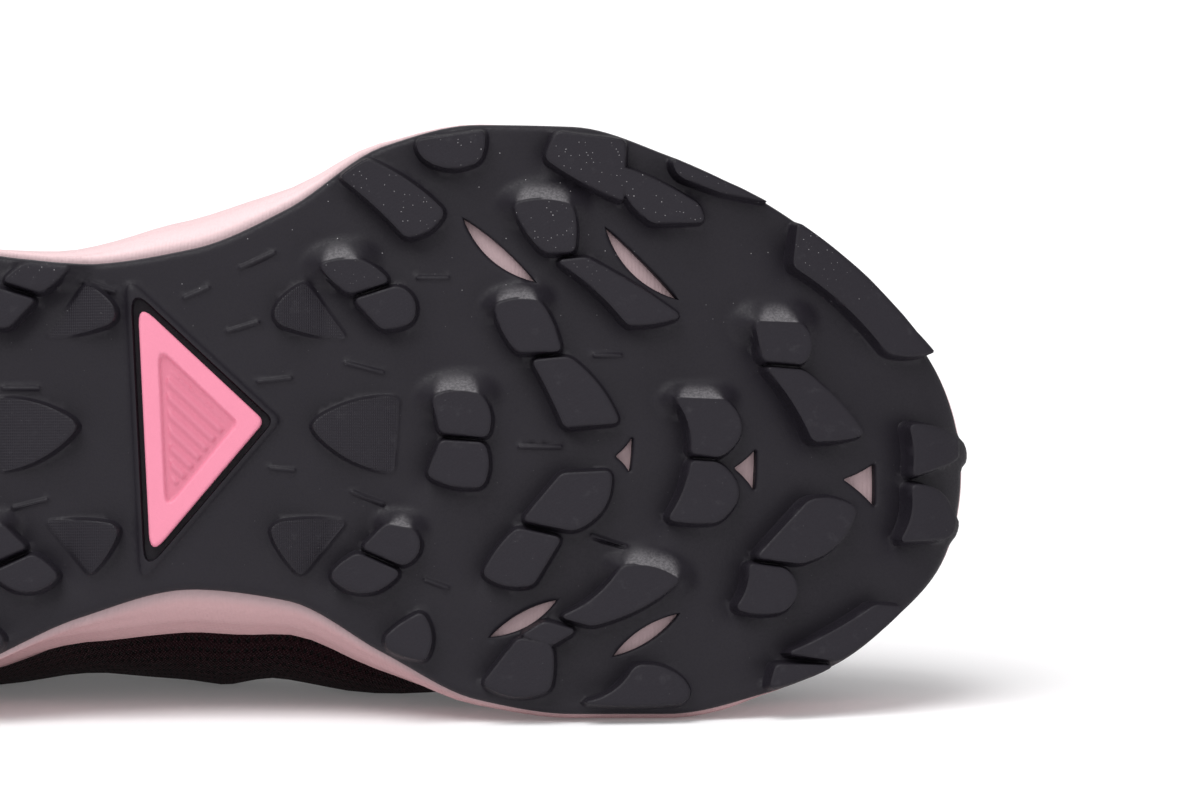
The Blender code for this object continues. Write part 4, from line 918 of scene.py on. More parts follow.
def make_outsole():
    blocks = tread_blocks()
    outline = sole_outline()
    well = insert_outline(-WELL_GROOVE)
    lip = insert_outline(-WELL_GROOVE - LIP_WIDTH)
    holes = [fine_slit(slit) for slit in SLITS]
    holes += [fine_outline(sole_points(hole), (-0.25, 0.1, -0.25), 0.5, 0.7)[0] for hole in HOLES]
    loops = tread_loops(outline, well, lip, holes, blocks)
    verts, triangles = mesh_between(loops, scattered(loops, TREAD_PITCH, TREAD_CLEAR), outline, holes)
    fields = tread_fields(verts, blocks)
    level = fields["level"]
    edge, _ = reach(verts, outline)
    up = (SCOOP * fields["scoop"] - RIDGE * fields["ridge"]) * (1.0 - np.clip(level / LUG_HEIGHT, 0.0, 1.0))
    up *= np.clip((edge - 1.0) / 4.0, 0.0, 1.0)
    # Painted highlight: a thin strip along the lateral edge joins the ramps' mark, as a lighter line where
    # light catches the edge.
    rim = np.clip(1.0 - edge / 0.5, 0.0, 1.0) * np.clip((-verts[:, 1] - 20.0) / 12.0, 0.0, 0.6)
    slope = np.maximum(fields["slope"], rim)
    beyond = signed_reach(verts, lip)
    calm = np.where(beyond < 3.0, np.clip((beyond - 0.5) / 2.5, 0.0, 1.0), 1.0)
    up = up * calm - LIP_HEIGHT * np.clip(0.5 - beyond / 0.9, 0.0, 1.0)
    sunk = np.clip(1.0 - signed_reach(verts, well) / WELL_WALL, 0.0, 1.0)
    up = up * (1.0 - sunk) + WELL_FLOOR * sunk
    dash_top, _, dash_foot = DASH_LINES
    for dash in DASHES:
        away, _ = reach(verts, np.array(((dash.x1, dash.y1), (dash.x2, dash.y2))))
        up -= DASH_HEIGHT * eased((dash_foot - away / DASH_WIDTH) / (dash_foot - dash_top))
    up += curl(edge, OUTLINE_ROUND) - level
    for hole in holes:
        up += curl(reach(verts, hole)[0], HOLE_ROUND)
    # The slope mark carries the painted highlights of the ramps and the lateral edge.
    marks = {"tops": fields["tops"], "leaf": fields["leaf"], "slope": slope}
    sole_sheet("outsole_tread", verts, triangles, up, RUBBER, "outsole", marks)


# Grip ribs in the insert's field
RIB_PITCH = 2.1
RIB_HEIGHT = 0.5
FIELD_SLOPE = 0.7


def make_insert():
    inner = INSERT_BORDER
    insets = (0.0, 0.15, 0.5, inner, inner + 0.35, inner + FIELD_SLOPE, inner + INSERT_DRAFT + 0.9)
    loops = [insert_outline(inset) for inset in insets]
    outline, _, _, border, _, _, field = loops
    verts, triangles = mesh_between(loops, scattered(loops, 0.42, 0.2), outline, [])
    depth = eased(-signed_reach(verts, border) / FIELD_SLOPE)
    first, second, _ = sole_points(INSERT)
    across = np.array((first.y - second.y, second.x - first.x)) / (second - first).length
    wave = np.clip(1.6 * np.cos(2.0 * math.pi * (verts @ across) / RIB_PITCH), -1.0, 1.0)
    ribs = np.clip(-signed_reach(verts, field) / 0.5, 0.0, 1.0) * RIB_HEIGHT * 0.5 * (1.0 + wave)
    up = -INSERT_PROUD + INSERT_RECESS * 1.35 * depth - ribs + curl(reach(verts, outline)[0], 0.5)
    # The field mark also sets the painted shade of the recessed field.
    sole_sheet("insert_ribs", verts, triangles, up, PINK, "outsole_insert", {"field": depth})


# Midsole and insole
RING_HEIGHTS = (
    0.0, 0.012, 0.03, 0.05, 0.07, 0.085, 0.11, 0.135, 0.15, 0.16, 0.175, 0.19, 0.205, 0.24, 0.30, 0.37, 0.45,
    0.53, 0.60, 0.67, 0.74, 0.80, 0.86, 0.91, 0.95, 0.98, 1.0,
)
INSOLE_RINGS = ((0.0, 0.0), (-0.5, 0.5), (-0.3, 2.6), (0.0, 3.6), (0.9, INSOLE), (6.0, INSOLE - 0.3))


def tube(start, rings, sides, capped=False):
    """Faces between rings of points that follow each other."""
    faces = []
    for level in range(rings - 1):
        first = start + level * sides
        for j in range(sides):
            k = (j + 1) % sides
            faces.append([first + j, first + k, first + sides + k, first + sides + j])
    if capped:
        last = start + (rings - 1) * sides
        faces += [list(range(start, start + sides)), list(range(last, last + sides))]
    return faces


def ladder(first, count, rail):
    """Faces that close a ring across the shoe, with points along its middle."""
    faces = []
    for i in range(count // 2):
        left = first + (count - i) % count
        right = [first + i, first + i + 1, rail[i + 1], rail[i]]
        for quad in (right, [rail[i], rail[i + 1], first + count - i - 1, left]):
            corners = [corner for n, corner in enumerate(quad) if corner not in quad[:n]]
            if len(corners) > 2:
                faces.append(corners)
    return faces


def stacked(points, count, sinks):
    """Faces of rings over each other, closed at both ends, where they sink by a share of the width."""
    rings = len(points) // count
    faces = tube(0, rings, count)
    for first, sink in zip((0, (rings - 1) * count), sinks):
        rail = [first]
        for i in range(1, count // 2):
            rail.append(len(points))
            near = points[first + i]
            far = points[first + count - i]
            points.append((near + far) / 2.0 - Vector((0.0, 0.0, sink * (near - far).length)))
        rail.append(first + count // 2)
        faces += ladder(first, count, rail)
    return faces


def foam_point(j, height):
    """Point of the foam's side at a column, from its foot on the outsole to its rim."""
    taper = TAPER * side["taper"](share_at(j)) * ring_curve["taper"](height)
    out = FLARE * side_value("flare", j) * ring_curve["flare"](height) + ring_curve["step"](height) - taper
    held = out - hug[side_of(j)](share_at(j)) * min(height / 0.05, 1.0)
    out = max(held, min(out, rim_out(j) + 1.3)) if height > 0.4 else held
    at = beside(j, out, 0.0)
    foot = Vector(on_sole(min(max(at.x, 0.0), LENGTH), at.y, TREAD_BASE + GAP))
    return foot if height == 0.0 else Vector((at.x, at.y, foot.z + (rim_height(j) - foot.z) * height))


def make_midsole():
    columns = [k / 4.0 for k in range(COLUMNS * 4)]
    count = len(columns)
    points = [foam_point(j, height) for height in RING_HEIGHTS for j in columns]
    points += [beside(j, rim_out(j) + 1.1, rim_height(j) + 0.25) for j in columns]
    points += [beside(j, rim_out(j) + 0.1, rim_height(j) - 0.5) for j in columns]
    points += [beside(j, feather_out(j) + GAP, floor_height(j)) for j in columns]
    ringed = len(points)
    faces = stacked(points, count, (0.0, 0.0))
    # The foam's foot ring and underside, seen through the tread's holes, get painted shade.
    under = np.zeros(len(points))
    under[:count] = 1.0
    under[ringed : ringed + count // 2 - 1] = 1.0
    piece("midsole_foam", points, faces, FOAM, "midsole", {"under": under}, 42.0)


def make_insole():
    columns = [k / 3.0 for k in range(COLUMNS * 3)]
    base = 2.0 * GAP
    points = []
    for inset, height in INSOLE_RINGS:
        for j in columns:
            out = feather_out(j) - WALL - base - inset
            points.append(beside(j, out, floor_height(j) + base + height))
    faces = stacked(points, len(columns), (CUP_SINK, CUP_SINK * 1.4))
    piece("insole_foam", points, faces, SOCKLINER, "insole", None, 60.0)


# Upper
def upper_controls():
    """Bezier controls of the upper's columns at fine steps."""
    rows = []
    for k in range(COLUMNS * FINE):
        column = k / FINE
        way = Vector((*outward(column), 0.0))
        up = Vector((0.0, 0.0, 1.0))
        feather = beside(column, feather_out(column), floor_height(column) + GAP)
        rim = beside(column, rim_out(column), rim_height(column))
        edge = top_point(column)
        value = {name: INSTEP_HEIGHT * bulge[name](share_at(column)) for name in bulge}
        arch = value["arch"] if side_of(column) == "medial" else 0.0
        low = rim + way * (value["low_out"] + arch) + up * value["low_up"]
        high = edge + way * (value["high_out"] + ARCH_TOP * arch) - up * value["high_drop"]
        rows.append([feather[:], rim[:], low[:], high[:], edge[:]])
    return np.array(rows)


CONTROLS = upper_controls()


def bare_upper(column, row):
    """Outer face of the upper at columns and rows, also a little past its edge."""
    at = (np.asarray(column, float) % COLUMNS) * FINE
    first = np.floor(at).astype(int) % len(CONTROLS)
    part = (at - np.floor(at))[:, None, None]
    held = CONTROLS[first] * (1.0 - part) + CONTROLS[(first + 1) % len(CONTROLS)] * part
    feather, rim, low, high, edge = (held[:, k] for k in range(5))
    row = np.asarray(row, float)[:, None]
    t = np.clip((row - 1.0) / (ROWS - 1.0), 0.0, 1.0)
    s = 1.0 - t
    wall = rim * s**3 + low * 3.0 * s * s * t + high * 3.0 * s * t * t + edge * t**3
    wall = np.where(row < 1.0, feather + (rim - feather) * row, wall)
    past = np.maximum(row - ROWS, 0.0)
    return wall + (edge - high) * past * 3.0 / (ROWS - 1.0)


# Creases and swells of the worn-in wall: column and row of the middle, half lengths, lean, and depth in mm
CREASES = table(
    "column row wide tall lean depth",
    (14.1, 2.9, 1.2, 1.5, 0.0, 1.5),
    (17.0, 2.9, 0.8, 1.4, 0.0, 1.1),
    (21.6, 4.6, 0.55, 2.6, 0.30, -0.9),
    (22.7, 4.8, 0.50, 2.3, 0.28, 0.5),
    (23.6, 4.6, 0.45, 2.2, 0.25, -0.8),
    (38.6, 4.5, 0.55, 2.6, -0.30, -0.9),
    (37.4, 4.8, 0.50, 2.3, -0.28, 0.5),
    (36.5, 4.6, 0.45, 2.2, -0.25, -0.8),
    (25.6, 6.6, 0.9, 0.8, 0.1, -0.5),
    (34.4, 6.6, 0.9, 0.8, -0.1, -0.5),
    (50.8, 4.4, 1.2, 1.6, -0.5, -0.8),
    (48.9, 3.4, 1.0, 1.3, -0.4, 0.6),
    (43.6, 2.9, 1.7, 0.9, -0.2, -0.5),
    (5.2, 5.9, 1.4, 0.9, 0.2, -0.5),
    (54.8, 5.9, 1.4, 0.9, -0.2, -0.5),
)

def creases(column, row):
    total = np.zeros(len(column))
    turn = column % COLUMNS
    for each in CREASES:
        across = (turn - each.column - each.lean * (row - each.row)) / each.wide
        total += each.depth * np.exp(-(across**2) - ((row - each.row) / each.tall) ** 4)
    return total * np.clip(row - 1.0, 0.0, 1.0) * np.clip((ROWS - row) / 0.6, 0.0, 1.0)


def normal_of(surface, column, row, step=0.06):
    along = surface(column + step, row) - surface(column - step, row)
    up = surface(column, row + step) - surface(column, row - step)
    return unit(np.cross(up, along))


def on_upper(column, row, depth):
    column = np.asarray(column, float)
    row = np.asarray(row, float)
    normal = normal_of(bare_upper, column, np.maximum(row, 0.08))
    return bare_upper(column, row) + normal * (depth + creases(column, row))[:, None]


# Tongue: steps across the throat, its crown, how its free end leans and narrows, and its drop at the front
THROAT_STEPS = 4
THROAT_CROWN = 0.10
TONGUE_ROWS = 2
TONGUE_LEAN = 0.85
TONGUE_TAPER = 0.74
FRONT_DROP = 0.8
ACROSS = THROAT_STEPS + 2
TONGUE_EDGE = 0.08
TONGUE_END = TONGUE_ROWS + THROAT_END - THROAT_TOP + 2.0
FRONT_LINES = (
    ((21, 22, 26, 30, 34, 38, 39), (ROWS - 1, ROWS, ROWS, ROWS, ROWS, ROWS, ROWS - 1)),
    ((22, 24, 27, 30, 33, 36, 38), (ROWS - 1,) * 7),
)


def bare_instep(j, k):
    """Surface over tongue and throat: j runs down the tongue, k across it from the medial side."""
    column = np.clip(j - TONGUE_ROWS, 0.0, THROAT_END - THROAT_TOP) + THROAT_TOP
    last = THROAT_STEPS + 2.0
    edge = np.full(len(j), float(ROWS))
    medial = bare_upper(column, ROWS - 1.0 + np.clip(k, 0.0, 1.0))
    lateral = bare_upper(COLUMNS - column, ROWS - 1.0 + np.clip(last - k, 0.0, 1.0))
    near = bare_upper(column, edge)
    far = bare_upper(COLUMNS - column, edge)
    t = np.clip((k - 1.0) / THROAT_STEPS, 0.0, 1.0)[:, None]
    span = np.linalg.norm(near - far, axis=1)[:, None]
    arch = near + (far - near) * t + np.array((0.0, 0.0, 1.0)) * THROAT_CROWN * 4.0 * t * (1.0 - t) * span
    points = np.where((k < 1.0)[:, None], medial, np.where((k > last - 1.0)[:, None], lateral, arch))
    lines = []
    for columns, rows in FRONT_LINES:
        at = np.interp(k, np.arange(7.0), columns)
        up = np.interp(k, np.arange(7.0), rows)
        lines.append(bare_upper(at, up) - normal_of(bare_upper, at, up - 0.07) * FRONT_DROP)
    front = (j - TONGUE_ROWS - (THROAT_END - THROAT_TOP))[:, None]
    one = np.clip(front, 0.0, 1.0)
    two = np.clip(front - 1.0, 0.0, 1.0)
    points = points * (1.0 - one) + lines[0] * (one - two) + lines[1] * two
    free = np.clip(TONGUE_ROWS - j, 0.0, TONGUE_ROWS + 1.0)
    rise = TONGUE_RISE * free / TONGUE_ROWS
    throat = bare_upper(np.array((THROAT_TOP, COLUMNS - THROAT_TOP), float), np.full(2, float(ROWS)))
    centre = throat[:, 1].mean()
    taper = 1.0 + (TONGUE_TAPER - 1.0) * np.clip(free, 0.0, 1.0)
    y = centre + (points[:, 1] - centre) * np.where(free > 0.0, taper, 1.0)
    return np.stack((points[:, 0] - TONGUE_LEAN * rise, y, points[:, 2] + rise), 1)


def on_instep(j, k, depth):
    j = np.asarray(j, float)
    k = np.asarray(k, float)
    return bare_instep(j, k) + normal_of(bare_instep, j, k, 0.12) * np.asarray(depth)[:, None]


def scales(place, points, step=0.1):
    """Millimetres per unit of a chart, at each point."""
    zero = np.zeros(len(points))
    x, y = points.T
    per_x = np.linalg.norm(place(x + step, y, zero) - place(x - step, y, zero), axis=1) / (2.0 * step)
    per_y = np.linalg.norm(place(x, y + step, zero) - place(x, y - step, zero), axis=1) / (2.0 * step)
    return np.maximum(np.stack((per_x, per_y), 1), 0.05)


def dense(loop, pitch):
    """Loop with points at most a pitch apart in each direction of its chart."""
    points = []
    for (x, y), (u, v) in zip(loop, loop[1:] + loop[:1]):
        count = max(1, int(math.ceil(max(abs(u - x) / pitch[0], abs(v - y) / pitch[1]))))
        points += [(x + (u - x) * i / count, y + (v - y) * i / count) for i in range(count)]
    return np.array(points, float)


def smoothed(knots, steps=5):
    """Smooth line through given knots."""
    knots = [np.array(knot, float) for knot in knots]
    points = []
    for i in range(len(knots) - 1):
        a, b, c, d = (knots[min(max(i + n, 0), len(knots) - 1)] for n in (-1, 0, 1, 2))
        for k in range(steps):
            t = k / steps
            bend = (2.0 * a - 5.0 * b + 4.0 * c - d) * t * t + (3.0 * b - a - 3.0 * c + d) * t**3
            points.append(tuple(0.5 * (2.0 * b + (c - a) * t + bend)))
    return points + [tuple(knots[-1])]


def panel(
    name, place, loop, holes, low, high, pitch, rounding, finishes, replaced,
    inner_round=0.0, shaped=None, open_ends=False,
):
    """Sheet between two depths of a chart, with rounded edges; its inner face has the second finish."""
    border = dense(loop, pitch)
    if not counter_clockwise(border):
        border = border[::-1].copy()
    loops = [border] + holes

    def kept(points, margin):
        """Points inside the border and outside the holes by a margin."""
        size = scales(place, points)
        good = np.full(len(points), True)
        for outline in loops:
            near, inside = reach(points, outline, size)
            good &= (inside == (outline is border)) & (near > margin)
        return points[good]

    free = []
    for outline in loops:
        size = scales(place, outline)
        run = unit((np.roll(outline, -1, 0) - np.roll(outline, 1, 0)) * size)
        inward = np.stack((-run[:, 1], run[:, 0]), 1)
        if counter_clockwise(outline) != (outline is border):
            inward = -inward
        for distance in (0.15 * rounding, 0.45 * rounding, 0.9 * rounding):
            free.append(kept(outline + inward * distance / size, 0.75 * distance))
    low_corner = border.min(0)
    high_corner = border.max(0)
    axes = [np.arange(a + step, b - 0.3 * step, step) for a, b, step in zip(low_corner, high_corner, pitch)]
    free.append(kept(np.stack(np.meshgrid(*axes), 2).reshape(-1, 2), 1.15 * rounding))
    verts, triangles = mesh_between(loops, np.concatenate(free), border, holes)
    used = np.unique(triangles)
    triangles = np.searchsorted(used, triangles)
    verts = verts[used]
    x, y = verts.T
    size = scales(place, verts)
    if open_ends:
        away = np.minimum((y - low_corner[1]) * size[:, 1], (high_corner[1] - y) * size[:, 1])
    else:
        away = reach(verts, border, size)[0]
    for hole in holes:
        away = np.minimum(away, reach(verts, hole, size)[0])
    outer = place(x, y, high - curl(away, rounding) + (shaped(x, y) if shaped else 0.0))
    inner = place(x, y, low + curl(away, inner_round))
    count = len(verts)
    faces = triangles.tolist() + (triangles[:, ::-1] + count).tolist()
    marks = [0] * len(triangles) + [len(as_list(finishes)) - 1] * len(triangles)
    for a, b in open_edges(triangles):
        ends = (x[[a, b]] < low_corner[0] + 1e-4).all() or (x[[a, b]] > high_corner[0] - 1e-4).all()
        if not (open_ends and ends):
            faces.append([b, a, a + count, b + count])
            marks.append(0)
    # The edge distance also places the painted highlight along the film's edges.
    fields = {"weave": np.tile(weave_of(place, verts), (2, 1)), "edge": np.tile(away, 2)}
    points = np.concatenate((outer, inner))
    return piece(name, points, faces, finishes, replaced, fields, 48.0, marks, open_ends)


# Cloth coordinates in mm: lengths along the wall from heel to toe, and one row or step of each chart
WEAVE_COLUMNS = np.arange(0.0, STATIONS + 0.01, 0.5)
WEAVE_ALONG = walked(bare_upper(WEAVE_COLUMNS, np.full(len(WEAVE_COLUMNS), 4.0)))
WEAVE_UP = 9.4
WEAVE_TONGUE = 12.5
WEAVE_ACROSS = 7.0


def weave_of(place, verts):
    if place is on_instep:
        return np.stack((verts[:, 0] * WEAVE_TONGUE, verts[:, 1] * WEAVE_ACROSS, np.zeros(len(verts))), 1)
    turn = verts[:, 0] % COLUMNS
    along = np.interp(np.minimum(turn, COLUMNS - turn), WEAVE_COLUMNS, WEAVE_ALONG)
    return np.stack((along, verts[:, 1] * WEAVE_UP, np.zeros(len(verts))), 1)


EYELET_STEP = (LAST_EYELET - FIRST_EYELET) / (EYELET_PAIRS - 1.0)
EYELET_STATIONS = [FIRST_EYELET + EYELET_STEP * k for k in range(EYELET_PAIRS)]
EYELET_COLUMNS = [column for at in EYELET_STATIONS for column in (at, COLUMNS - at)]


def round_holes(diameter, sides=16):
    turns = 2.0 * math.pi * np.arange(sides) / sides
    circle = np.stack((np.cos(turns), np.sin(turns)), 1) * diameter / 2.0
    centres = [np.array(((column, EYELET_ROW),)) for column in EYELET_COLUMNS]
    return [centre + circle / scales(on_upper, centre)[0] for centre in centres]


def make_upper():
    loop = [(0.0, 0.0), (float(COLUMNS), 0.0), (float(COLUMNS), float(ROWS)), (0.0, float(ROWS))]
    panel(
        "upper_mesh", on_upper, loop, round_holes(EYELET), -WALL, 0.0, (0.25, 0.25), 0.7, [MESH, LINING],
        "upper", open_ends=True,
    )


# Edges of the overlays in columns from the middle of heel or toe, and rows
COUNTER_EDGE = ((0, 5.2), (2, 5.0), (4, 4.4), (6, 3.4), (8, 2.4), (9.3, 1.6))
TOE_EDGE = ((0, 3.4), (2, 3.3), (4, 3.0), (6, 2.5), (8, 1.95), (9.4, 1.5))
COLLAR_EDGE = ((0, 4.6), (6, 4.8), (10, 5.2), (12.4, 6.3))
EYESTAY_EDGE = ((12.6, 6.6), (15, 6.75), (18, 6.7), (21, 6.65), (25, 6.7), (30, 6.75))
EYESTAY_MARGIN = 0.12
FILM_SINK = 0.4


def mirrored(edge, centre=0.0):
    """Line of an edge on both sides of a column, from its far end on the left to the right."""
    left = [(centre - column, row) for column, row in reversed(edge[1:])]
    return smoothed(left + [(centre + column, row) for column, row in edge])


def down_to(line, row):
    """Loop from a line straight to a row."""
    return line + [(line[-1][0], row), (line[0][0], row)]


def eyestay_line(shift=0.0):
    knots = [(column, row + shift) for column, row in EYESTAY_EDGE]
    return smoothed(knots + [(COLUMNS - column, row) for column, row in reversed(knots[:-1])], 8)


def film_panel(name, loop, holes, thickness, pitch, rounding, replaced):
    panel(
        name, on_upper, loop, holes, GAP - FILM_SINK, GAP + thickness, (pitch, pitch), rounding, FILM,
        replaced,
    )


def make_overlays():
    counter = down_to(mirrored(COUNTER_EDGE), OVERLAY_FOOT)
    film_panel("heel_counter_film", counter, [], COUNTER, 0.25, 0.9, "heel_counter")
    cap = down_to(mirrored(TOE_EDGE, float(STATIONS)), OVERLAY_FOOT)
    film_panel("toe_cap_film", cap, [], OVERLAY, 0.25, 0.8, "toe_cap")
    stay = down_to(eyestay_line(), ROWS - EYESTAY_MARGIN)
    film_panel("eyestay_film", stay, round_holes(EYELET), OVERLAY, 0.2, 0.6, "eyestay")


def make_collar():
    def fullness(column, row):
        return -0.5 * bell(row - 7.2, 0.25)

    depth = -WALL - GAP
    loop = down_to(mirrored(COLLAR_EDGE), ROWS + PADDING_RISE)
    body = panel(
        "collar_lining", on_upper, loop, [], depth - PADDING, depth, (0.25, 0.2), 2.0, LINING,
        "collar_padding", inner_round=2.4, shaped=fullness,
    )


TAB_HALF = 0.42
TAB_FOOT = 5.5
TAB_RISE = 0.75


def make_tab():
    loop = down_to([(-TAB_HALF, TAB_FOOT), (TAB_HALF, TAB_FOOT)], ROWS + TAB_RISE)
    panel(
        "heel_tab", on_upper, loop, [], GAP, GAP + TAB_THICKNESS, (0.06, 0.1), 0.7, TAPE,
        "pull_tab", inner_round=0.6,
    )


def make_tongue():
    edge = [(0.0, 2.1), (0.15, 1.6), (0.8, 0.95), (1.9, 0.7), (2.4, TONGUE_EDGE), (TONGUE_END, TONGUE_EDGE)]
    loop = edge + [(j, ACROSS - k) for j, k in reversed(edge)]
    depth = -WALL - GAP - 0.1

    def fullness(j, k):
        channel = bell(k - 2.2, 0.16) + bell(k - 3.8, 0.16)
        return -0.7 * bell(j - 1.0, 0.12) - 0.6 * channel * np.clip((j - 1.2) * 3.0, 0.0, 1.0)

    body = panel(
        "tongue_pad", on_instep, loop, [], depth - TONGUE, depth, (0.14, 0.14), 1.8, [TONGUE_CLOTH, LINING],
        "tongue", inner_round=1.8, shaped=fullness,
    )


# Laces
LACE_SECTION = 12
LACE_STEPS = 34
LACE_DIVE = 2.4


def signed_power(value, power):
    return math.copysign(abs(value) ** power, value)


def lace_run(start, end, lift):
    """Ribbon from one eyelet to another; it dives into both and lifts over what it crosses."""
    t = np.linspace(0.0, 1.0, LACE_STEPS + 1)
    j, k = (np.array(a + (b - a) * t) for a, b in zip(start, end))
    near_end = np.minimum(t, 1.0 - t)
    rest = 2.0 * GAP + OVERLAY + LACE_THICKNESS / 2.0
    dive = np.clip(1.0 - near_end / 0.10, 0.0, 1.0)
    depth = rest - (rest + LACE_DIVE) * dive**2.2 + lift * bell(t - 0.5, 0.15)
    middle = on_instep(j, k, depth)
    run = unit(np.gradient(middle, axis=0))
    across = unit(np.cross(run, unit(on_instep(j, k, depth + 1.0) - middle)))
    normal = np.cross(across, run)
    length = walked(middle)
    pinch = 1.0 - 0.48 * np.clip(1.0 - near_end / 0.16, 0.0, 1.0) ** 1.5
    points = []
    weave = []
    for i in range(len(t)):
        for n in range(LACE_SECTION):
            turn = 2.0 * math.pi * n / LACE_SECTION
            x = signed_power(math.cos(turn), 0.6) * LACE_WIDTH / 2.0 * pinch[i]
            y = signed_power(math.sin(turn), 0.8) * LACE_THICKNESS / 2.0 / pinch[i] ** 0.5
            points.append(middle[i] + across[i] * x + normal[i] * y)
            weave.append((length[i], x, 0.0))
    return points, weave


def make_laces():
    medial = ROWS - EYELET_ROW
    lateral = ACROSS - medial
    places = [at - THROAT_TOP + TONGUE_ROWS for at in EYELET_STATIONS]
    runs = [lace_run((places[-1], medial), (places[-1], lateral), 0.0)]
    for near, far in zip(places, places[1:]):
        runs.append(lace_run((near + 0.06, medial), (far - 0.06, lateral), LACE_THICKNESS * 0.55))
        runs.append(lace_run((far - 0.06, medial), (near + 0.06, lateral), -LACE_THICKNESS * 0.45))
    points = []
    faces = []
    weave = []
    for more, cloth in runs:
        faces += tube(len(points), LACE_STEPS + 1, LACE_SECTION, True)
        points += more
        weave += cloth
    piece("laces_flat", points, faces, LACE, "laces", {"weave": weave}, 70.0)


EYELET_RING = ((2.05, -0.9), (2.0, 0.1), (2.12, 0.42), (2.5, 0.6), (2.95, 0.55), (3.25, 0.25), (3.3, -0.2))
EYELET_SIDES = 24


def make_eyelets():
    points = []
    faces = []
    for column in EYELET_COLUMNS:
        c = np.array((column,))
        r = np.array((EYELET_ROW,))
        base = on_upper(c, r, np.array((GAP + OVERLAY,)))[0]
        normal = on_upper(c, r, np.array((GAP + OVERLAY + 1.0,)))[0] - base
        along = unit(np.cross(normal, np.array((0.0, 0.0, 1.0))))
        across = np.cross(normal, along)
        faces += tube(len(points), len(EYELET_RING), EYELET_SIDES)
        for radius, height in EYELET_RING:
            for n in range(EYELET_SIDES):
                turn = 2.0 * math.pi * n / EYELET_SIDES
                ring = along * math.cos(turn) + across * math.sin(turn)
                points.append(base + ring * radius + normal * height)
    weave = {"weave": np.zeros((len(points), 3))}
    piece("eyelet_rings", points, faces, FILM, None, weave, 60.0)


# Stitches: length, gap and thickness, and each ring's place along the stitch, girth and rise
STITCH = 2.3
STITCH_GAP = 1.0
STITCH_THICKNESS = 0.34
STITCH_RINGS = ((-0.5, 0.35, -0.1), (-0.3, 1.0, 0.1), (0.3, 1.0, 0.1), (0.5, 0.35, -0.1))
STITCH_SIDES = 6


def at_length(at, lengths, line):
    return np.array([np.interp(at, lengths, line[:, i]) for i in range(3)])


def stitch_rows(name, lines, finish):
    """Rows of sewn stitches along lines of a chart: place, line, depth."""
    points = []
    faces = []
    for place, line, depth in lines:
        line = np.array(line, float)
        t = np.linspace(0.0, len(line) - 1.0, len(line) * 12)
        x, y = (np.interp(t, np.arange(len(line)), line[:, i]) for i in range(2))
        track = place(x, y, np.full(len(t), depth))
        over = place(x, y, np.full(len(t), depth + 1.0)) - track
        lengths = walked(track)
        for middle_at in np.arange(STITCH, lengths[-1] - STITCH / 2.0, STITCH + STITCH_GAP):
            spots = []
            for share, girth, rise in STITCH_RINGS:
                at = middle_at + share * STITCH
                up = at_length(at, lengths, over)
                spots.append((at_length(at, lengths, track) + up * rise, up, girth))
            run = unit(spots[-1][0] - spots[0][0])
            faces += tube(len(points), len(STITCH_RINGS), STITCH_SIDES, True)
            for centre, up, girth in spots:
                across = np.cross(run, up)
                for n in range(STITCH_SIDES):
                    turn = 2.0 * math.pi * n / STITCH_SIDES
                    ring = across * math.cos(turn) * 1.2 + up * math.sin(turn)
                    points.append(centre + ring * STITCH_THICKNESS * girth)
    piece(name, points, faces, finish, None, {"weave": np.array(points)}, 80.0)


def shifted(line, rows):
    return [(x, y + rows) for x, y in line]


def make_stitches():
    film = GAP + OVERLAY
    stay = [(float(c), ROWS - 0.2) for c in np.arange(12.9, 20.6, 0.3)]
    lines = [
        (on_upper, shifted(mirrored(COUNTER_EDGE), -0.16), GAP + COUNTER),
        (on_upper, shifted(mirrored(COUNTER_EDGE), -0.36), GAP + COUNTER),
        (on_upper, shifted(mirrored(TOE_EDGE, float(STATIONS)), -0.16), film),
        (on_upper, eyestay_line(0.14), film),
        (on_upper, stay, film),
        (on_upper, [(COLUMNS - c, r) for c, r in stay], film),
        (on_upper, [(float(c), ROWS - 0.32) for c in np.arange(-12.0, 12.1, 0.5)], 0.1),
        (on_instep, [(1.05, k) for k in np.arange(1.25, 4.8, 0.25)], -WALL - GAP - 0.75),
    ]
    stitch_rows("stitching", lines, THREAD)


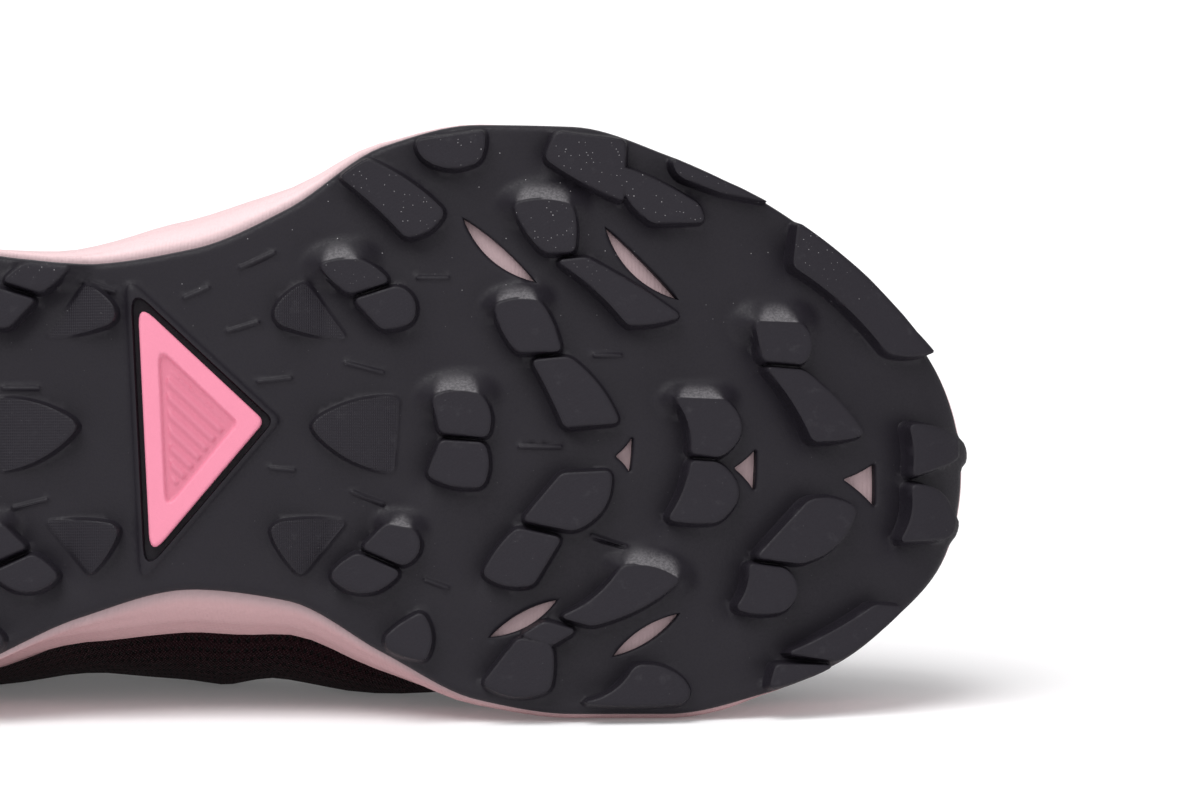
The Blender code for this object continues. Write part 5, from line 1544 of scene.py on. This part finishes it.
# Materials
class Looks:
    """A material's nodes, with sizes in the shoe's millimetres."""

    def __init__(self, name, colour, roughness, specular=0.5, **more):
        self.material = bpy.data.materials.new(name)
        self.material.use_nodes = True
        self.tree = self.material.node_tree
        self.shader = self.tree.nodes["Principled BSDF"]
        self.shader.inputs["Base Color"].default_value = (*colour, 1.0)
        self.shader.inputs["Roughness"].default_value = roughness
        self.shader.inputs["Specular IOR Level"].default_value = specular
        for key, value in more.items():
            self.shader.inputs[key.replace("_", " ")].default_value = value
        self.material.diffuse_color = (*colour, 1.0)
        self.place = self.field("place", "Vector")

    def node(self, kind, inputs=None, **settings):
        made = self.tree.nodes.new("ShaderNode" + kind)
        for key, value in settings.items():
            setattr(made, key, value)
        for key, value in (inputs or {}).items():
            if isinstance(value, bpy.types.NodeSocket):
                self.tree.links.new(value, made.inputs[key])
            else:
                made.inputs[key].default_value = value
        return made

    def field(self, name, output="Fac"):
        return self.node("Attribute", attribute_name=name).outputs[output]

    def maths(self, operation, first, second=0.0, third=0.0):
        return self.node("Math", {0: first, 1: second, 2: third}, operation=operation).outputs[0]

    def times(self, first, second):
        return self.maths("MULTIPLY", first, second)

    def parts(self, vector):
        return self.node("SeparateXYZ", {0: vector}).outputs

    def joined(self, x, y):
        return self.node("CombineXYZ", {0: x, 1: y}).outputs[0]

    def noise(self, scale, detail=3.0, rough=0.55):
        inputs = {"Vector": self.place, "Scale": scale, "Detail": detail, "Roughness": rough}
        return self.node("TexNoise", inputs).outputs[0]

    def cells(self, scale, feature="F1"):
        return self.node("TexVoronoi", {"Vector": self.place, "Scale": scale}, feature=feature).outputs

    def waves(self, vector, along, across, pitch):
        """Sine lines over two coordinates."""
        x, y, _ = self.parts(vector)
        turns = 2.0 * math.pi / pitch
        return self.maths("SINE", self.maths("MULTIPLY_ADD", x, along * turns, self.times(y, across * turns)))

    def crossed(self, vector, first, second):
        """Product of two sets of waves."""
        return self.times(self.waves(vector, *first), self.waves(vector, *second))

    def ramp(self, value, low, high, first=0.0, last=1.0):
        inputs = {"Value": value, "From Min": low, "From Max": high, "To Min": first, "To Max": last}
        return self.node("MapRange", inputs, interpolation_type="SMOOTHSTEP").outputs[0]

    def mixed(self, share, first, second):
        """Colour between two colours, each a triple or a socket."""
        made = self.node("Mix", data_type="RGBA")
        sockets = [each for each in made.inputs if each.type == "RGBA"]
        for socket, value in zip(sockets, (first, second)):
            if isinstance(value, tuple):
                socket.default_value = (*value, 1.0)
            else:
                self.tree.links.new(value, socket)
        self.tree.links.new(share, made.inputs[0])
        return next(each for each in made.outputs if each.type == "RGBA")

    def set(self, name, socket):
        self.tree.links.new(socket, self.shader.inputs[name])

    def bump(self, height, distance, strength=1.0):
        """Relief, added over what is there already."""
        inputs = {"Height": height, "Distance": distance, "Strength": strength}
        last = self.shader.inputs["Normal"].links
        if last:
            inputs["Normal"] = last[0].from_socket
        self.set("Normal", self.node("Bump", inputs).outputs[0])


def rubber():
    looks = Looks("tread_rubber", (0.0135, 0.0112, 0.0165), 0.45, 0.25)
    tops = looks.field("tops")
    y = looks.parts(looks.place)[1]
    fine = looks.noise(2.2, 4.0, 0.65)
    base = looks.mixed(looks.noise(0.09), (0.0095, 0.0078, 0.0118), (0.0130, 0.0108, 0.0158))
    # Lug tops a little lighter than the web.
    lighter_tops = looks.mixed(tops, base, (0.0132, 0.0110, 0.0163))
    cells = looks.cells(0.62)
    speck = looks.ramp(cells["Distance"], 0.035, 0.075, 1.0, 0.0)
    chosen = looks.ramp(looks.parts(cells["Color"])[0], 0.60, 0.64)
    specks = looks.times(looks.times(speck, chosen), looks.ramp(y, -24.0, -44.0, 0.10, 1.0))
    small = looks.cells(1.7)
    grain = looks.ramp(small["Distance"], 0.10, 0.16, 1.0, 0.0)
    some = looks.ramp(looks.parts(small["Color"])[1], 0.62, 0.66)
    edge = looks.times(looks.ramp(y, -32.0, -44.0, 0.0, 0.8), tops)
    dust = looks.maths("MAXIMUM", specks, looks.times(looks.times(grain, some), edge))
    dusty_part = looks.times(looks.ramp(looks.noise(0.35, 5.0, 0.7), 0.56, 0.74, 0.0, 0.35), tops)
    dusty = looks.mixed(dusty_part, lighter_tops, (0.040, 0.038, 0.044))
    # Painted highlight: ramps and the lateral edge are mixed towards a pale grey where they would catch
    # light, broken up by noise.
    lit = looks.times(looks.ramp(looks.field("slope"), 0.10, 0.85), looks.ramp(fine, 0.35, 0.65, 0.45, 1.0))
    painted_highlights = looks.mixed(lit, dusty, (0.150, 0.143, 0.152))
    looks.set("Base Color", looks.mixed(dust, painted_highlights, (0.36, 0.35, 0.36)))
    looks.set("Roughness", looks.ramp(fine, 0.3, 0.7, 0.44, 0.62))
    hatch = looks.crossed(looks.place, (0.8, 0.6, 0.62), (0.8, -0.6, 0.62))
    looks.bump(looks.times(hatch, looks.field("leaf")), 0.00004)
    looks.bump(looks.times(looks.waves(looks.place, 0.5, 0.86, 0.7), tops), 0.000004)
    looks.bump(fine, 0.00004)
    return looks.material


def pink():
    looks = Looks("insert_rubber", (0.78, 0.25, 0.36), 0.42, 0.35)
    face = looks.mixed(looks.noise(0.16), (0.755, 0.238, 0.342), (0.800, 0.262, 0.372))
    # Painted shade: the recessed field is mixed towards a darker pink.
    looks.set("Base Color", looks.mixed(looks.field("field"), face, (0.630, 0.185, 0.268)))
    fine = looks.noise(2.6, 4.0, 0.6)
    looks.set("Roughness", looks.ramp(fine, 0.3, 0.7, 0.36, 0.52))
    looks.bump(fine, 0.00006)
    return looks.material


def foam():
    looks = Looks("sole_foam", (0.86, 0.66, 0.675), 0.62, 0.35)
    x, y, z = looks.parts(looks.place)
    tint = looks.mixed(looks.noise(0.05, 4.0), (0.795, 0.575, 0.590), (0.835, 0.630, 0.645))
    # Painted shade: the medial side is darker, as the side turned from the light.
    painted_side_shade = looks.mixed(looks.ramp(y, -20.0, 30.0), tint, (0.45, 0.275, 0.285))
    # Painted shade: the foam's foot and underside are mixed towards a darker pink.
    looks.set("Base Color", looks.mixed(looks.field("under"), painted_side_shade, (0.46, 0.335, 0.350)))
    looks.set("Roughness", looks.ramp(looks.noise(1.1), 0.3, 0.7, 0.55, 0.72))
    looks.bump(looks.crossed(looks.joined(x, z), (1.0, 0.6, 1.0), (0.5, -1.0, 1.0)), 0.00004, 0.8)
    looks.bump(looks.cells(1.6)["Distance"], 0.00005)
    return looks.material


def mesh_cloth():
    looks = Looks("upper_cloth", (0.012, 0.0022, 0.004), 0.85, 0.10, Sheen_Weight=0.04, Sheen_Roughness=0.5)
    weave = looks.field("weave", "Vector")
    # Painted shade: the mesh's holes are near black, standing in for the shade inside them.
    holes = looks.ramp(looks.crossed(weave, (1.0, 0.55, 2.3), (1.0, -0.55, 2.3)), 0.35, 0.75)
    yarn = looks.crossed(weave, (1.0, 0.0, 0.62), (0.0, 1.0, 0.8))
    cloth = looks.mixed(looks.noise(0.06), (0.0105, 0.0018, 0.0032), (0.0155, 0.0032, 0.0052))
    lit = looks.mixed(looks.ramp(yarn, -0.2, 0.9, 0.0, 0.5), cloth, (0.026, 0.0070, 0.0115))
    looks.set("Base Color", looks.mixed(holes, lit, (0.003, 0.001, 0.0015)))
    looks.bump(looks.times(holes, -1.0), 0.00035)
    looks.bump(yarn, 0.00010)
    return looks.material


def knit_cloth(name, colour, light, pitch, distance):
    looks = Looks(name, colour, 0.9, 0.2, Sheen_Weight=0.25, Sheen_Roughness=0.45)
    x, y, z = looks.parts(looks.place)
    flat = looks.joined(looks.maths("ADD", x, looks.times(y, 0.35)), looks.maths("ADD", z, y))
    loops = looks.crossed(flat, (1.0, 0.0, pitch), (0.3, 1.0, pitch * 1.2))
    fuzz = looks.noise(3.0, 4.0, 0.7)
    shade = looks.maths("ADD", looks.ramp(loops, -0.6, 1.0, 0.0, 0.6), looks.times(fuzz, 0.4))
    looks.set("Base Color", looks.mixed(shade, colour, light))
    looks.bump(loops, distance)
    looks.bump(fuzz, distance * 0.6)
    return looks.material


def film():
    looks = Looks("overlay_film", (0.0085, 0.0065, 0.0075), 0.42, 0.4)
    fine = looks.noise(1.5, 5.0, 0.6)
    # Painted highlight: the film is lighter along its rounded edges.
    edge = looks.ramp(looks.field("edge"), 0.0, 1.1, 1.0, 0.0)
    tone = looks.mixed(fine, (0.0070, 0.0050, 0.0060), (0.0125, 0.0090, 0.0105))
    looks.set("Base Color", looks.mixed(looks.times(edge, 0.35), tone, (0.035, 0.026, 0.030)))
    looks.set("Roughness", looks.ramp(fine, 0.3, 0.7, 0.34, 0.52))
    looks.bump(looks.cells(1.9, "SMOOTH_F1")["Distance"], 0.00009)
    looks.bump(fine, 0.00006)
    return looks.material


def tape(name, colour, dark, along_pitch, across_pitch):
    looks = Looks(name, colour, 0.75, 0.3, Sheen_Weight=0.2, Sheen_Roughness=0.4)
    weave = looks.field("weave", "Vector")
    lines = [looks.waves(weave, 1.0, lean, along_pitch) for lean in (1.0, -1.0)]
    ribs = looks.maths("MAXIMUM", *lines)
    fuzz = looks.noise(3.5, 3.0, 0.7)
    shade = looks.maths("ADD", looks.ramp(ribs, -0.4, 1.0, 0.0, 0.7), looks.times(fuzz, 0.3))
    looks.set("Base Color", looks.mixed(shade, dark, colour))
    looks.bump(ribs, 0.00016)
    looks.bump(looks.waves(weave, 0.0, 1.0, across_pitch), 0.00006)
    looks.bump(fuzz, 0.00005)
    return looks.material


RUBBER = rubber()
PINK = pink()
FOAM = foam()
MESH = mesh_cloth()
LINING = knit_cloth("lining_cloth", (0.030, 0.0070, 0.0120), (0.062, 0.018, 0.028), 1.1, 0.00012)
TONGUE_CLOTH = knit_cloth("tongue_cloth", (0.018, 0.0045, 0.0075), (0.042, 0.012, 0.019), 1.5, 0.00018)
SOCKLINER = knit_cloth("sockliner_cloth", (0.045, 0.011, 0.018), (0.085, 0.026, 0.040), 1.3, 0.00010)
FILM = film()
LACE = tape("lace_braid", (0.42, 0.14, 0.20), (0.20, 0.050, 0.078), 1.5, 1.1)
TAPE = tape("tab_tape", (0.46, 0.15, 0.215), (0.22, 0.058, 0.088), 1.8, 0.9)
THREAD = tape("sewing_thread", (0.105, 0.030, 0.046), (0.050, 0.012, 0.020), 0.5, 0.4)

# Photograph: the point in its middle in mm, the distance in metres, the lens and how far the view comes from
# under the sole's square
MIDDLE = Vector((217.9, -14.6, 0.0))
DISTANCE = 1.5
LENS = 252.0
UNDER = math.radians(2.0)
TARGET = SHOE @ (MIDDLE * MM)
FLOOR_SIZE = 8.0

# Studio lights: place from the target, spread in degrees and strength
LIGHTS = (
    ("key", (-0.40, -0.55, 1.0), 42.0, 1.80),
    ("top", (-0.12, -0.14, 1.0), 26.0, 0.50),
    ("fill", (0.3, -1.0, 0.40), 60.0, 0.45),
)


def make_floor():
    mesh = bpy.data.meshes.new("floor")
    corners = [(x * FLOOR_SIZE, y * FLOOR_SIZE, 0.0) for x, y in ((-1, -1), (1, -1), (1, 1), (-1, 1))]
    mesh.from_pydata(corners, [], [(0, 1, 2, 3)])
    looks = Looks("pale_floor", (0.93, 0.922, 0.93), 0.9, 0.1, Emission_Strength=0.10)
    looks.shader.inputs["Emission Color"].default_value = (1.0, 0.992, 1.0, 1.0)
    mesh.materials.append(looks.material)
    linked("floor", mesh)


def make_light():
    world = bpy.data.worlds.new("studio")
    world.use_nodes = True
    world.node_tree.nodes["Background"].inputs["Color"].default_value = (1.0, 0.996, 1.0, 1.0)
    world.node_tree.nodes["Background"].inputs["Strength"].default_value = 0.50
    scene = bpy.context.scene
    scene.world = world
    scene.view_settings.view_transform = "Standard"
    scene.view_settings.look = "None"
    for name, offset, spread, strength in LIGHTS:
        light = bpy.data.lights.new(name, "SUN")
        light.angle = math.radians(spread)
        light.energy = strength
        body = linked(name, light)
        body.location = TARGET + Vector(offset)
        body.rotation_mode = "QUATERNION"
        body.rotation_quaternion = Vector(offset).normalized().to_track_quat("Z", "Y")


def make_camera():
    x, y, z = (SHOE.to_3x3() @ Vector(axis) for axis in ((1.0, 0.0, 0.0), (0.0, 1.0, 0.0), (0.0, 0.0, 1.0)))
    back = (-z * math.cos(UNDER) + y * math.sin(UNDER)).normalized()
    right = (x - back * x.dot(back)).normalized()
    data = bpy.data.cameras.new("camera")
    data.sensor_width = 36.0
    data.lens = LENS
    data.clip_start = 0.05
    data.clip_end = 60.0
    camera = linked("camera", data)
    matrix = Matrix((right, back.cross(right), back)).transposed().to_4x4()
    matrix.translation = TARGET + back * DISTANCE
    camera.matrix_world = matrix
    bpy.context.scene.camera = camera


def main():
    for make in (
        make_outsole, make_insert, make_midsole, make_insole, make_upper, make_overlays, make_collar,
        make_tab, make_tongue, make_laces, make_eyelets, make_stitches, make_floor, make_light, make_camera,
    ):
        make()
    bpy.context.view_layer.update()


main()
